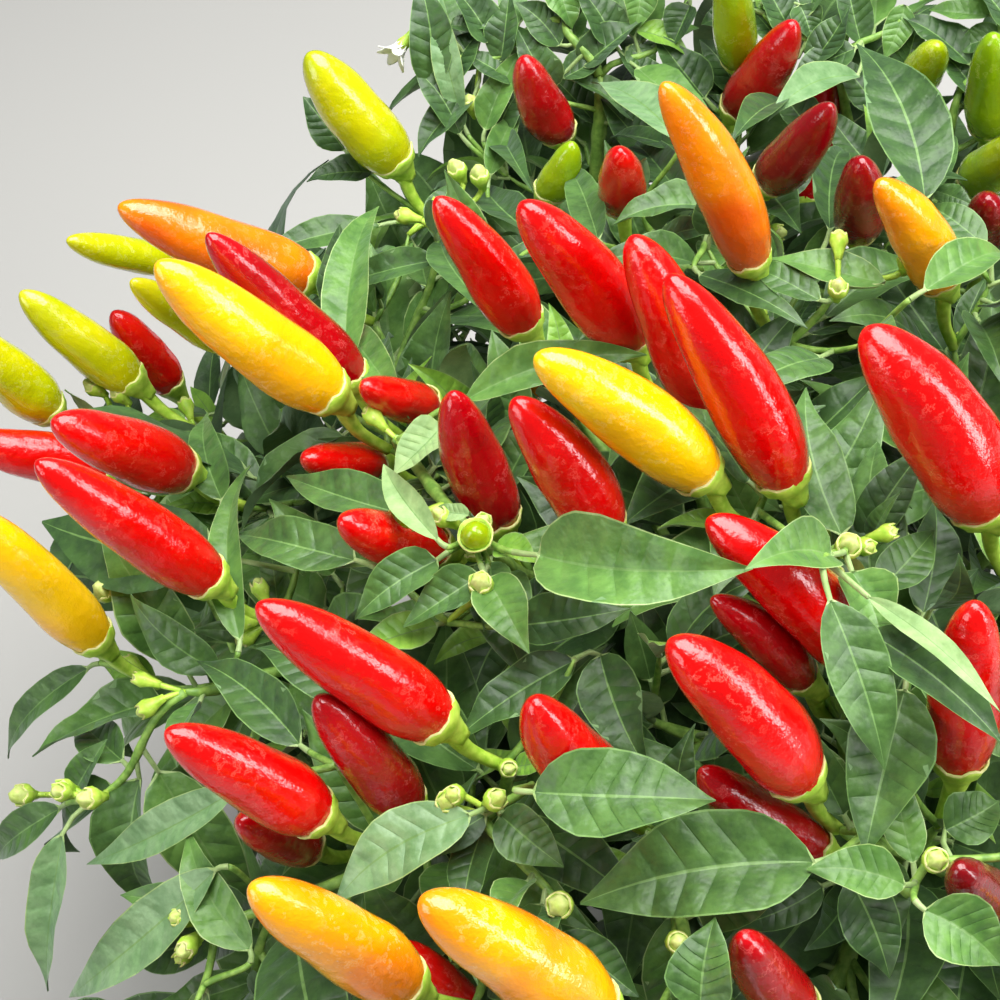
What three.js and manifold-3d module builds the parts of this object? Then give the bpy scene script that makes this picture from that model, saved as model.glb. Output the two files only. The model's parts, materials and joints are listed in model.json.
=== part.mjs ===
// Chilli pepper plant with upright fruit, rooted in the ground.
// Millimetres, +Z up. The origin is on the flat cut at ground level, in the middle of the main stem.
// A short main stem forks into boughs. Each mass of foliage is one body: a stem that carries on
// from its bough's tip, twigs that branch from it by a seeded rule, and leaves and fruit fused on.

import * as THREE from 'three';
import { mergeVertices } from 'three/addons/utils/BufferGeometryUtils.js';
import Module from 'manifold-3d';

const wasm = await Module();
wasm.setup();

const { degToRad, clamp, lerp } = THREE.MathUtils;
const vec = (x, y, z) => new THREE.Vector3(x, y, z);
const UP = vec(0, 0, 1);
const GOLDEN_ANGLE = Math.PI * (3 - Math.sqrt(5));

// Driving sizes

const GAP = 0.3;                  // clear space between one body and the next
const TWIG_CLEAR = 0.8;           // clear space between a twig or fruit and what it passes
const CROWN = { across: 205, up: 132, down: 95, middle: 168 };
const STEM = { height: 96, base: 5, top: 3.9, flare: 10, flareHeight: 14, upright: 7, lean: 6, sides: 10 };

const LOW_BOUGHS = { count: 7, firstHeight: 34, rise: 6, reach: 84, end: 92, root: 2.7, tip: 2.0, turn: 12 };
const FORK_BOUGHS = { angles: [36, 180, 288], reach: 44, end: 148, root: 3.3, tip: 2.9 };
const HIGH_BOUGHS = { count: 5, reach: 84, end: 190, root: 2.5, tip: 2.0, topReach: 8, topEnd: 206 };
const BOUGH_SIDES = 5;

const LOW_MASS = { reach: 142, height: 112 };
const HIGH_MASS = { reach: 102, height: 208 };
const TOP_MASS = { reach: 0, height: 242 };

const TWIG = { thin: 1.2, thick: 3.0, share: 0.42, step: 21, sides: 3, bend: 0.38, lazy: 0.3 };
const JOIN = { turn: 0.35, near: 5, nearCost: 20, tries: 8, placedTries: 24, heart: 0.55 };
const SPIRAL = { count: 230, lowest: -0.86, reach: 0.83, spread: 0.08, apart: 31.5 };
const LEAF = { shortest: 52, longest: 72, width: 0.52, thick: 1.2, keel: 1.5, sunk: 0.5, fold: 0.2, droop: 0.12 };
const ROSETTE = { leaves: 2, first: 2.5, apart: 8, tries: 8, shrink: 0.95, stray: 14, lowest: 25 };
const FRUIT = { shortest: 44, longest: 60, slim: 0.33, bow: 0.05, share: 0.46, level: 0.2, sides: 6,
  pedicel: 26, homeward: 0.62 };
const PEDICEL = { root: 1.2, end: 2.1 };
const SEED = 41;

// The view that the placed fruit and shoots follow: sight lines through pixels of a square frame
// of 1000 pixels, from a point above and in front of the crown

const VIEW = { elevation: 48, roll: 12, distance: 620, focal: 2005, middle: 500, aim: [690, 680] };

// Fruit that the view shows: foot and tip as pixels, length and width in millimetres, and how far
// out the foot stands, where 1 is the crown's own surface. Some stand back behind a neighbour.
const PLACED_FRUIT = [
  { foot: [397, 163], tip: [308, 53], long: 50, wide: 20, reach: 0.97 },
  { foot: [309, 277], tip: [118, 206], long: 64, wide: 19, reach: 1.03 },
  { foot: [175, 262], tip: [67, 240], long: 45, wide: 14, reach: 0.9 },
  { foot: [354, 380], tip: [207, 234], long: 62, wide: 16, reach: 1.0 },
  { foot: [332, 395], tip: [156, 263], long: 63, wide: 19, reach: 1.09 },
  { foot: [230, 345], tip: [131, 281], long: 50, wide: 14, reach: 0.95 },
  { foot: [134, 382], tip: [20, 292], long: 48, wide: 18, reach: 1.04 },
  { foot: [172, 386], tip: [113, 312], long: 38, wide: 14, reach: 0.9, back: 26 },
  { foot: [51, 411], tip: [-45, 325], long: 46, wide: 17, reach: 1.0 },
  { foot: [185, 472], tip: [53, 421], long: 50, wide: 18, reach: 1.02 },
  { foot: [110, 470], tip: [-45, 440], long: 50, wide: 17, reach: 0.9 },
  { foot: [212, 580], tip: [36, 462], long: 62, wide: 18, reach: 1.06 },
  { foot: [97, 640], tip: [-38, 508], long: 58, wide: 18, reach: 1.04 },
  { foot: [440, 722], tip: [257, 604], long: 56, wide: 18, reach: 1.08 },
  { foot: [408, 806], tip: [317, 697], long: 46, wide: 15, reach: 0.95 },
  { foot: [319, 815], tip: [166, 731], long: 50, wide: 17, reach: 1.06 },
  { foot: [308, 846], tip: [240, 822], long: 40, wide: 14, reach: 0.86 },
  { foot: [410, 985], tip: [250, 886], long: 54, wide: 17, reach: 1.04 },
  { foot: [470, 1020], tip: [400, 944], long: 36, wide: 12, reach: 0.9, back: 18 },
  { foot: [600, 1012], tip: [421, 899], long: 58, wide: 19, reach: 1.08 },
  { foot: [525, 325], tip: [436, 198], long: 50, wide: 18, reach: 0.97 },
  { foot: [632, 342], tip: [521, 203], long: 56, wide: 19, reach: 1.02 },
  { foot: [710, 412], tip: [632, 236], long: 56, wide: 18, reach: 0.97 },
  { foot: [787, 480], tip: [668, 275], long: 64, wide: 19, reach: 1.05 },
  { foot: [704, 474], tip: [536, 355], long: 58, wide: 18, reach: 1.09 },
  { foot: [605, 530], tip: [514, 399], long: 48, wide: 17, reach: 1.0 },
  { foot: [752, 262], tip: [663, 83], long: 66, wide: 21, reach: 1.02 },
  { foot: [942, 282], tip: [878, 181], long: 46, wide: 18, reach: 0.98 },
  { foot: [988, 508], tip: [866, 328], long: 60, wide: 23, reach: 1.06 },
  { foot: [862, 660], tip: [708, 518], long: 56, wide: 17, reach: 0.98 },
  { foot: [805, 680], tip: [712, 598], long: 40, wide: 12, reach: 0.9 },
  { foot: [802, 778], tip: [670, 640], long: 52, wide: 19, reach: 1.05 },
  { foot: [610, 790], tip: [532, 700], long: 42, wide: 17, reach: 1.0 },
  { foot: [958, 765], tip: [975, 602], long: 48, wide: 17, reach: 0.97 },
  { foot: [820, 850], tip: [700, 770], long: 44, wide: 13, reach: 0.88 },
  { foot: [800, 1010], tip: [742, 935], long: 38, wide: 14, reach: 0.92 },
  { foot: [1010, 905], tip: [957, 868], long: 38, wide: 13, reach: 0.95 },
  { foot: [500, 522], tip: [452, 392], long: 46, wide: 16, reach: 0.9 },
  { foot: [440, 548], tip: [340, 520], long: 40, wide: 14, reach: 0.92 },
  { foot: [548, 195], tip: [573, 143], long: 24, wide: 12, reach: 0.97 },
  { foot: [560, 135], tip: [523, 57], long: 38, wide: 16, reach: 0.95 },
  { foot: [378, 462], tip: [303, 458], long: 34, wide: 12, reach: 0.86 },
  { foot: [430, 405], tip: [362, 385], long: 34, wide: 12, reach: 0.93 },
  { foot: [735, 110], tip: [795, 22], long: 46, wide: 16, reach: 1.05 },
  { foot: [768, 182], tip: [832, 105], long: 44, wide: 15, reach: 1.0 },
  { foot: [738, 62], tip: [728, -40], long: 50, wide: 17, reach: 1.1 },
  { foot: [988, 128], tip: [994, 35], long: 48, wide: 16, reach: 1.05 },
  { foot: [972, 182], tip: [1030, 138], long: 44, wide: 15, reach: 1.0 },
  { foot: [858, 232], tip: [862, 160], long: 40, wide: 15, reach: 0.95 },
  { foot: [622, 205], tip: [620, 150], long: 34, wide: 14, reach: 0.98 },
  { foot: [985, 240], tip: [988, 198], long: 30, wide: 14, reach: 0.95 },
  { foot: [912, 88], tip: [938, 45], long: 34, wide: 13, reach: 1.08 },
];

// Shoots that the view shows, as a pixel and how far out they stand
const PLACED_SHOOTS = [
  { at: [475, 537], reach: 1.0 }, { at: [840, 545], reach: 1.03 }, { at: [930, 860], reach: 1.03 },
  { at: [905, 893], reach: 1.0 }, { at: [437, 235], reach: 0.99 }, { at: [398, 440], reach: 1.02 },
  { at: [185, 692], reach: 1.0 }, { at: [92, 800], reach: 1.0 }, { at: [532, 785], reach: 1.02 },
  { at: [838, 287], reach: 0.99 }, { at: [480, 815], reach: 0.98 }, { at: [215, 925], reach: 0.96 },
  { at: [688, 955], reach: 1.0 }, { at: [560, 905], reach: 0.98 }, { at: [640, 205], reach: 0.94 },
  { at: [870, 590], reach: 1.0 }, { at: [470, 60], reach: 1.08 }, { at: [600, 75], reach: 1.08 },
  { at: [665, 40], reach: 1.12 }, { at: [840, 60], reach: 1.1 }, { at: [900, 20], reach: 1.12 },
  { at: [960, 90], reach: 1.1 }, { at: [560, 20], reach: 1.14 }, { at: [760, 10], reach: 1.15 },
  { at: [1000, 60], reach: 1.1 },
];

// The window in the lower left of the view, where it looks past the crown: no spiral shoots there
const WINDOW = { left: 5, right: 235, top: 590, bottom: 1010 };

// Rounds of the view where it shows leaves alone: no spiral fruit there
const BARE = [
  { middle: [620, 650], room: 55 }, { middle: [280, 1000], room: 100 },
  { middle: [40, 500], room: 50 }, { middle: [370, 190], room: 45 },
];

// Pixels that other fruit, and the tip and middle of a leaf, keep from the outline of placed fruit
const KEEP_CLEAR = { fruit: 26, leafTip: 3, leafMiddle: 6 };

// Dice: a small repeatable stream of numbers from 0 to 1 for each seed

function dice(seed) {
  let state = (seed * 2654435761) >>> 0;
  return () => {
    state = (Math.imul(state, 1664525) + 1013904223) >>> 0;
    return state / 4294967296;
  };
}

const between = (roll, low, high) => low + (high - low) * roll();

// Sight lines

const tilt = degToRad(VIEW.elevation);
const twist = degToRad(VIEW.roll);
const forward = vec(0, Math.cos(tilt), -Math.sin(tilt));
const level = vec(1, 0, 0);
const upright = vec(0, Math.sin(tilt), Math.cos(tilt));
const right = level.clone().multiplyScalar(Math.cos(twist)).addScaledVector(upright, -Math.sin(twist));
const above = upright.clone().multiplyScalar(Math.cos(twist)).addScaledVector(level, Math.sin(twist));
const crownMiddle = vec(0, 0, CROWN.middle);

function sight([px, py]) {
  return forward.clone()
    .addScaledVector(right, (px - VIEW.middle) / VIEW.focal)
    .addScaledVector(above, (VIEW.middle - py) / VIEW.focal);
}

const eye = crownMiddle.clone().addScaledVector(sight(VIEW.aim), -VIEW.distance);

// Where a point falls in the frame: pixel x, pixel y, and its depth from the eye
function inFrame(point) {
  const away = point.clone().sub(eye);
  const depth = away.dot(forward);
  return [
    VIEW.middle + VIEW.focal * away.dot(right) / depth,
    VIEW.middle - VIEW.focal * away.dot(above) / depth,
    depth,
  ];
}

// First point of the crown's surface, scaled by reach, that a sight line meets, or passes nearest to,
// and from there some way further back
function onCrown(pixel, reach, back = 0) {
  const ray = sight(pixel);
  let point;
  for (const height of [CROWN.up, CROWN.down]) {
    const half = vec(CROWN.across, CROWN.across, height).multiplyScalar(reach);
    const from = eye.clone().sub(crownMiddle).divide(half);
    const step = ray.clone().divide(half);
    const a = step.dot(step);
    const b = from.dot(step);
    const inside = Math.max(b * b - a * (from.dot(from) - 1), 0);
    point = eye.clone().addScaledVector(ray, (-b - Math.sqrt(inside)) / a + back);
    if (point.z >= CROWN.middle) break;
  }
  return point;
}

// The end of something of a known length that starts at foot and ends on a pixel's sight line,
// on the side nearer the eye
function endOnSight(foot, pixel, long) {
  const ray = sight(pixel).normalize();
  const away = foot.clone().sub(eye);
  const along = away.dot(ray);
  const aside = away.lengthSq() - along * along;
  return eye.clone().addScaledVector(ray, along - Math.sqrt(Math.max(long * long - aside, 0)));
}

// Outward direction of the crown at a point
function outward(point) {
  const away = point.clone().sub(crownMiddle);
  const height = away.z > 0 ? CROWN.up : CROWN.down;
  return vec(away.x / CROWN.across ** 2, away.y / CROWN.across ** 2, away.z / height ** 2).normalize();
}

// Solids: a skin of rings, each ring a closed row of points, or one point at a pointed end.
// A ring may have twice the points of the one before it.

function solidOf(points, faces) {
  const mesh = new wasm.Mesh({
    numProp: 3,
    vertProperties: new Float32Array(points.flatMap((p) => [p.x, p.y, p.z])),
    triVerts: new Uint32Array(faces.flat()),
  });
  return new wasm.Manifold(mesh);
}

function skin(rings) {
  const points = [];
  const faces = [];
  const starts = rings.map((ring) => {
    points.push(...ring);
    return points.length - ring.length;
  });
  for (let r = 0; r + 1 < rings.length; r += 1) {
    const [low, high] = [rings[r], rings[r + 1]];
    const sides = Math.max(low.length, high.length);
    if (low.length > 1 && high.length === 2 * low.length) {
      for (let k = 0; k < low.length; k += 1) {
        const [a, b] = [starts[r] + k, starts[r] + ((k + 1) % low.length)];
        const [p, m, q] = [0, 1, 2].map((step) => starts[r + 1] + ((2 * k + step) % high.length));
        faces.push([a, b, m], [a, m, p], [b, q, m]);
      }
      continue;
    }
    for (let k = 0; k < sides; k += 1) {
      const next = (k + 1) % sides;
      if (low.length > 1) {
        faces.push([starts[r] + k, starts[r] + next, starts[r + 1] + (high.length > 1 ? next : 0)]);
      }
      if (high.length > 1) {
        faces.push([starts[r] + (low.length > 1 ? k : 0), starts[r + 1] + next, starts[r + 1] + k]);
      }
    }
  }
  for (const [r, flip] of [[0, true], [rings.length - 1, false]]) {
    for (let k = 1; k + 1 < rings[r].length; k += 1) {
      const [a, b, c] = [starts[r], starts[r] + k, starts[r] + k + 1];
      faces.push(flip ? [a, c, b] : [a, b, c]);
    }
  }
  return solidOf(points, faces);
}

// A round-sectioned limb along a path. A radius of 0 makes a pointed end.
function limb(path, radii, sides) {
  const sidesAt = Array.isArray(sides) ? sides : path.map(() => sides);
  const rings = [];
  let side = null;
  path.forEach((point, i) => {
    const ahead = path[Math.min(i + 1, path.length - 1)];
    const behind = path[Math.max(i - 1, 0)];
    const along = ahead.clone().sub(behind).normalize();
    const guide = side ?? (Math.abs(along.z) > 0.8 ? vec(1, 0, 0) : UP);
    side = guide.clone().addScaledVector(along, -guide.dot(along)).normalize();
    const across = along.clone().cross(side);
    if (radii[i] === 0) {
      rings.push([point]);
      return;
    }
    const ring = [];
    for (let k = 0; k < sidesAt[i]; k += 1) {
      const angle = (2 * Math.PI * k) / sidesAt[i];
      ring.push(point.clone()
        .addScaledVector(side, radii[i] * Math.cos(angle))
        .addScaledVector(across, radii[i] * Math.sin(angle)));
    }
    rings.push(ring);
  });
  return skin(rings);
}

// A leaf: a folded, drooping blade of eight faces with a keel under its midrib
function leaf({ root, along, face, long, wide, fold, droop }) {
  const side = along.clone().cross(face).normalize();
  const place = (run, out, lift) => root.clone()
    .addScaledVector(along, run * long)
    .addScaledVector(side, out * wide)
    .addScaledVector(face, lift - droop * long * run * run);
  const outline = [place(0, 0, 0), place(0.44, -0.5, fold * wide), place(1, 0, 0), place(0.44, 0.5, fold * wide)];
  const top = place(0.46, 0, LEAF.thick / 2);
  const keel = place(0.12, 0, -LEAF.keel);
  const faces = outline.flatMap((_, k) => {
    const next = (k + 1) % outline.length;
    return [[k, 4, next], [k, next, 5]];
  });
  return solidOf([...outline, top, keel], faces);
}

// Clear space: a capsule is one straight, round-ended, tapering stretch of a limb, twig or fruit

function capsulesOf(path, radii) {
  const capsules = [];
  for (let i = 0; i + 1 < path.length; i += 1) {
    capsules.push({ a: path[i], b: path[i + 1], ra: radii[i], rb: radii[i + 1] });
  }
  return capsules;
}

// Gap between two capsules
function gapBetween(one, two) {
  const u = one.b.clone().sub(one.a);
  const v = two.b.clone().sub(two.a);
  const w = one.a.clone().sub(two.a);
  const [uu, uv, vv, uw, vw] = [u.dot(u), u.dot(v), v.dot(v), u.dot(w), v.dot(w)];
  const flat = uu * vv - uv * uv;
  let s = flat > 1e-9 ? clamp((uv * vw - vv * uw) / flat, 0, 1) : 0;
  const t = vv > 1e-9 ? clamp((uv * s + vw) / vv, 0, 1) : 0;
  s = uu > 1e-9 ? clamp((uv * t - uw) / uu, 0, 1) : 0;
  const near = w.addScaledVector(u, s).addScaledVector(v, -t).length();
  return near - lerp(one.ra, one.rb, s) - lerp(two.ra, two.rb, t);
}

function tooNear(capsules, others, clear) {
  return capsules.some((one) => others.some((two) => gapBetween(one, two) < clear));
}

// Main stem: true taper, a slight lean and a root flare. Its foot is upright, so that the cut is flat.

function stemPath(steps) {
  const path = [];
  const radii = [];
  for (let i = 0; i <= steps; i += 1) {
    const rise = (i / steps) ** 1.4;
    const z = STEM.height * rise;
    const flare = Math.max(0, 1 - z / STEM.flareHeight) ** 2;
    const leaning = Math.max(0, z - STEM.upright) / (STEM.height - STEM.upright);
    path.push(vec(STEM.lean * leaning ** 1.6, -0.5 * STEM.lean * leaning ** 2, z));
    radii.push(lerp(STEM.base, STEM.top, rise) + (STEM.flare - STEM.base) * flare);
  }
  return { path, radii };
}

const stem = stemPath(7);
const fork = stem.path.at(-1);

// Boughs: each one tapering limb on a bent path from its parent to where it enters a mass

function boughBetween(start, leave, end, arrive, root, tip, steps) {
  const long = start.distanceTo(end);
  const curve = new THREE.CubicBezierCurve3(
    start,
    start.clone().addScaledVector(leave.clone().normalize(), long * TWIG.bend),
    end.clone().addScaledVector(arrive.clone().normalize(), -long * TWIG.bend),
    end,
  );
  const path = curve.getPoints(steps);
  const radii = path.map((_, i) => lerp(root, tip, i / steps));
  return { path, radii, arrive: path.at(-1).clone().sub(path.at(-2)).normalize() };
}

const spoke = (degrees, reach, height) => vec(
  reach * Math.cos(degToRad(degrees)), reach * Math.sin(degToRad(degrees)), height,
);

const boughs = [];
const masses = [];

function makeLowBoughs() {
  const { count, firstHeight, rise, reach, end, root, tip, turn } = LOW_BOUGHS;
  for (let k = 0; k < count; k += 1) {
    // Neighbours in height stand well apart round the stem, as leaves and side shoots do
    const around = ((k * 3) % count) * (360 / count) + turn;
    const height = firstHeight + rise * k;
    const foot = stem.path.findLast((p) => p.z <= height);
    const start = vec(foot.x, foot.y, height);
    const bough = boughBetween(start, spoke(around, 1, 0.55), spoke(around, reach, end),
      spoke(around, 1, 0.35), root, tip, 4);
    boughs.push({ name: `low_bough_${k + 1}`, parent: 'main_stem', ...bough });
    masses.push({
      name: `low_foliage_${k + 1}`, bough: boughs.at(-1),
      middle: spoke(around, LOW_MASS.reach, LOW_MASS.height),
    });
  }
}

function makeHighBoughs() {
  const forks = FORK_BOUGHS.angles.map((around, k) => {
    const bough = boughBetween(fork, spoke(around, 0.5, 1), spoke(around, FORK_BOUGHS.reach, FORK_BOUGHS.end),
      spoke(around, 0.6, 1), FORK_BOUGHS.root, FORK_BOUGHS.tip, 3);
    boughs.push({ name: `fork_bough_${'abc'[k]}`, parent: 'main_stem', ...bough });
    return boughs.at(-1);
  });
  const { count, reach, end, root, tip, topReach, topEnd } = HIGH_BOUGHS;
  for (let k = 0; k < count; k += 1) {
    const around = (360 / count) * k;
    const parent = forks[Math.floor(k / 2)];
    const bough = boughBetween(parent.path.at(-1), spoke(around, 0.7, 1), spoke(around, reach, end),
      spoke(around, 0.9, 0.8), root, tip, 3);
    boughs.push({ name: `high_bough_${k + 1}`, parent: parent.name, ...bough });
    masses.push({
      name: `high_foliage_${k + 1}`, bough: boughs.at(-1),
      middle: spoke(around, HIGH_MASS.reach, HIGH_MASS.height),
    });
  }
  const top = boughBetween(forks[2].path.at(-1), spoke(100, 0.5, 1), spoke(288, topReach, topEnd),
    spoke(60, 0.15, 1), root, tip, 4);
  boughs.push({ name: 'top_bough', parent: forks[2].name, ...top });
  masses.push({
    name: 'top_foliage', bough: boughs.at(-1), middle: spoke(0, TOP_MASS.reach, TOP_MASS.height),
  });
}

makeLowBoughs();
makeHighBoughs();

const massAt = (point) => masses.reduce((best, mass) => (
  mass.middle.distanceToSquared(point) < best.middle.distanceToSquared(point) ? mass : best));

// Fruit: a pedicel and a bent cone with a round shoulder

const FRUIT_PROFILE = [[0, 0.42], [0.12, 0.93], [0.56, 0.9], [1, 0]];

function fruitBetween(base, foot, tip, wide, bow) {
  const long = foot.distanceTo(tip);
  const along = tip.clone().sub(foot).normalize();
  const sideways = along.clone().cross(UP).normalize();
  const lift = sideways.clone().cross(along);
  const path = [base, base.clone().lerp(foot, 0.55).addScaledVector(lift, -0.06 * long)];
  const radii = [PEDICEL.root, PEDICEL.root * 1.2];
  for (const [run, share] of FRUIT_PROFILE) {
    path.push(foot.clone().addScaledVector(along, run * long)
      .addScaledVector(lift, bow * long * 4 * run * (1 - run)));
    radii.push(share * wide / 2);
  }
  radii[2] = PEDICEL.end;
  path[2].addScaledVector(along, -0.5);
  return { path, radii, capsules: capsulesOf(path, radii), base };
}

const fruits = [];
const shoots = [];

// Each placed fruit hangs on a shoot a pedicel's length behind its foot, nearer the plant's middle
function placeFruit() {
  PLACED_FRUIT.forEach(({ foot: footPixel, tip: tipPixel, long, wide, reach, back }, i) => {
    const roll = dice(SEED + 100 + i);
    const foot = onCrown(footPixel, reach, back);
    const tip = endOnSight(foot, tipPixel, long);
    const along = tip.clone().sub(foot).normalize();
    const inward = outward(foot).negate();
    const homeward = inward.lerp(along.clone().negate(), FRUIT.homeward).normalize();
    const base = foot.clone().addScaledVector(homeward, FRUIT.pedicel);
    const bow = between(roll, -FRUIT.bow, FRUIT.bow);
    fruits.push({ ...fruitBetween(base, foot, tip, wide, bow), placed: true });
    shoots.push({ at: base, along: homeward.clone().negate(), fruit: fruits.at(-1), placed: true });
  });
  for (const { at, reach } of PLACED_SHOOTS) {
    const point = onCrown(at, reach);
    shoots.push({ at: point, along: outward(point), placed: true });
  }
}

const inWindow = (point) => {
  const [px, py] = inFrame(point);
  return px > WINDOW.left && px < WINDOW.right && py > WINDOW.top && py < WINDOW.bottom;
};

function isBare(point) {
  const [px, py] = inFrame(point);
  return inWindow(point) || BARE.some(({ middle: [x, y], room }) => Math.hypot(px - x, py - y) < room);
}

// True where something at a point would stand between the eye and a placed fruit
function hidesFruit(point, room) {
  const [px, py, depth] = inFrame(point);
  return fruits.some((fruit) => fruit.placed && fruit.capsules.some(({ a, b, ra, rb }) => {
    const [ax, ay, near] = inFrame(a);
    const [bx, by] = inFrame(b);
    if (depth > near) return false;
    const [dx, dy] = [bx - ax, by - ay];
    const t = clamp(((px - ax) * dx + (py - ay) * dy) / (dx * dx + dy * dy + 1e-9), 0, 1);
    const aside = Math.hypot(px - ax - t * dx, py - ay - t * dy);
    return aside < lerp(ra, rb, t) * VIEW.focal / near + room;
  }));
}

// The other shoots stand on a golden-angle spiral over the crown, some with a fruit of their own
function spiralShoots() {
  for (let i = 0; i < SPIRAL.count; i += 1) {
    const roll = dice(SEED + 300 + i);
    const height = 1 - ((i + 0.5) / SPIRAL.count) * (1 - SPIRAL.lowest);
    const ring = Math.sqrt(1 - height * height);
    const around = i * GOLDEN_ANGLE + between(roll, -0.15, 0.15);
    const out = SPIRAL.reach + between(roll, -SPIRAL.spread, SPIRAL.spread);
    const bears = roll() < FRUIT.share * clamp(1.25 + height, 0.3, 1.3);
    const long = between(roll, FRUIT.shortest, FRUIT.longest);
    const wide = long * between(roll, 0.92, 1.12) * FRUIT.slim;
    const lean = vec(between(roll, -0.3, 0.3), between(roll, -0.3, 0.3), between(roll, 0.35, 0.9));
    const bow = between(roll, -FRUIT.bow, FRUIT.bow);
    const at = vec(
      CROWN.across * out * ring * Math.cos(around),
      CROWN.across * out * ring * Math.sin(around),
      CROWN.middle + (height > 0 ? CROWN.up : CROWN.down) * out * height,
    );
    if (inWindow(at) || shoots.some((other) => other.at.distanceTo(at) < SPIRAL.apart)) continue;
    const along = outward(at).add(lean).normalize();
    along.setZ(Math.max(along.z, FRUIT.level)).normalize();
    const shoot = { at, along: outward(at) };
    if (bears) {
      const foot = at.clone().addScaledVector(along, FRUIT.pedicel);
      const tip = foot.clone().addScaledVector(along, long);
      const fruit = fruitBetween(at, foot, tip, wide, bow);
      const clear = fruits.every((other) => !tooNear(fruit.capsules, other.capsules, TWIG_CLEAR));
      const alongIt = [0.2, 0.6, 1].map((run) => foot.clone().lerp(tip, run));
      const seen = alongIt.some((point) => hidesFruit(point, KEEP_CLEAR.fruit) || isBare(point));
      if (clear && !seen) {
        fruits.push({ ...fruit, placed: false });
        shoot.fruit = fruits.at(-1);
      }
    }
    shoots.push(shoot);
  }
}

placeFruit();
spiralShoots();

// Twigs: within a mass each shoot is joined, nearest first, to the best joint of what has grown

const limbCapsules = boughs.map((bough) => capsulesOf(bough.path, bough.radii));
const stemCapsules = capsulesOf(stem.path, stem.radii);
const grown = [];                 // capsules of the twigs, with the mass that they belong to

function twigPath(from, leave, to, arrive) {
  const long = from.distanceTo(to);
  const steps = Math.max(1, Math.round(long / TWIG.step));
  const curve = new THREE.CubicBezierCurve3(
    from,
    from.clone().addScaledVector(leave, long * TWIG.bend),
    to.clone().addScaledVector(arrive, -long * TWIG.bend),
    to,
  );
  return curve.getPoints(steps);
}

function twigIsClear(path, mass, shoot) {
  const capsules = capsulesOf(path, path.map(() => TWIG.thin * 1.3));
  const own = boughs.indexOf(mass.bough);
  const meets = (others) => tooNear(capsules, others, TWIG_CLEAR);
  if (meets(stemCapsules)) return false;
  if (limbCapsules.some((limbs, i) => meets(i === own ? limbs.slice(0, -1) : limbs))) return false;
  if (grown.some((other) => other.mass !== mass && meets([other]))) return false;
  return fruits.every((fruit) => fruit === shoot?.fruit || !meets(fruit.capsules));
}

function joinShoot(mass, shoot) {
  const { joints } = mass;
  const choices = joints.map((joint, i) => {
    const reach = shoot.at.clone().sub(joint.at);
    const far = reach.length();
    const turn = 1 - reach.dot(joint.along) / Math.max(far, 1e-6);
    const near = i === 0 && joints.length > 1 ? Infinity : 0;
    const crowded = far < JOIN.near ? JOIN.nearCost : 0;
    return { i, cost: near + far * (1 + JOIN.turn * turn) + TWIG.lazy * joint.run + crowded };
  });
  choices.sort((one, two) => one.cost - two.cost || one.i - two.i);
  for (const { i } of choices.slice(0, shoot.placed ? JOIN.placedTries : JOIN.tries)) {
    const joint = joints[i];
    const direct = shoot.at.clone().sub(joint.at).normalize();
    const leave = i === 0 ? joint.along : joint.along.clone().add(direct).normalize();
    const arrive = shoot.along.clone().add(direct).normalize();
    const path = twigPath(joint.at, leave, shoot.at, arrive);
    if (!twigIsClear(i === 0 ? path.slice(1) : path, mass, shoot)) continue;
    let parent = i;
    for (let k = 1; k < path.length; k += 1) {
      const along = path[k].clone().sub(path[k - 1]);
      const run = joints[parent].run + along.length();
      joints.push({ at: path[k], along: along.normalize(), run, parent, load: 0, shoot: null });
      parent = joints.length - 1;
    }
    joints[parent].shoot = shoot;
    for (const capsule of capsulesOf(path, path.map(() => TWIG.thin * 1.3))) grown.push({ ...capsule, mass });
    for (let up = parent; up !== null; up = joints[up].parent) joints[up].load += 1;
    mass.twigs.push({ from: i, first: joints.length - path.length + 1, last: parent, shoot });
    return true;
  }
  return false;
}

function growTwigs(mass) {
  const { path, radii, arrive } = mass.bough;
  const start = path.at(-1).clone().addScaledVector(arrive, GAP);
  mass.joints = [{ at: start, along: arrive, run: 0, parent: null, load: 0, shoot: null }];
  mass.stemRadius = radii.at(-1);
  mass.twigs = [];
  const own = shoots.filter((shoot) => massAt(shoot.at) === mass);
  const middle = start.clone().lerp(mass.middle, JOIN.heart);
  joinShoot(mass, { at: middle, along: mass.middle.clone().sub(start).normalize(), placed: true });
  own.sort((one, two) => one.at.distanceTo(start) - two.at.distanceTo(start));
  mass.shoots = own.filter((shoot) => joinShoot(mass, shoot));
}

masses.forEach(growTwigs);

// A shoot that its own mass can't reach clear of the rest is offered to the masses next to it
function offerLostShoots() {
  const joined = new Set(masses.flatMap((mass) => mass.shoots));
  for (const shoot of shoots.filter((one) => one.placed && !joined.has(one))) {
    const nearest = masses.toSorted((one, two) => (
      one.middle.distanceTo(shoot.at) - two.middle.distanceTo(shoot.at)));
    const taker = nearest.slice(1, 4).find((mass) => joinShoot(mass, shoot));
    taker?.shoots.push(shoot);
  }
}

offerLostShoots();

// Radius of a twig at a joint, from how many shoots lie beyond it
const twigRadius = (load) => Math.min(TWIG.thin * load ** TWIG.share, TWIG.thick);

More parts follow.
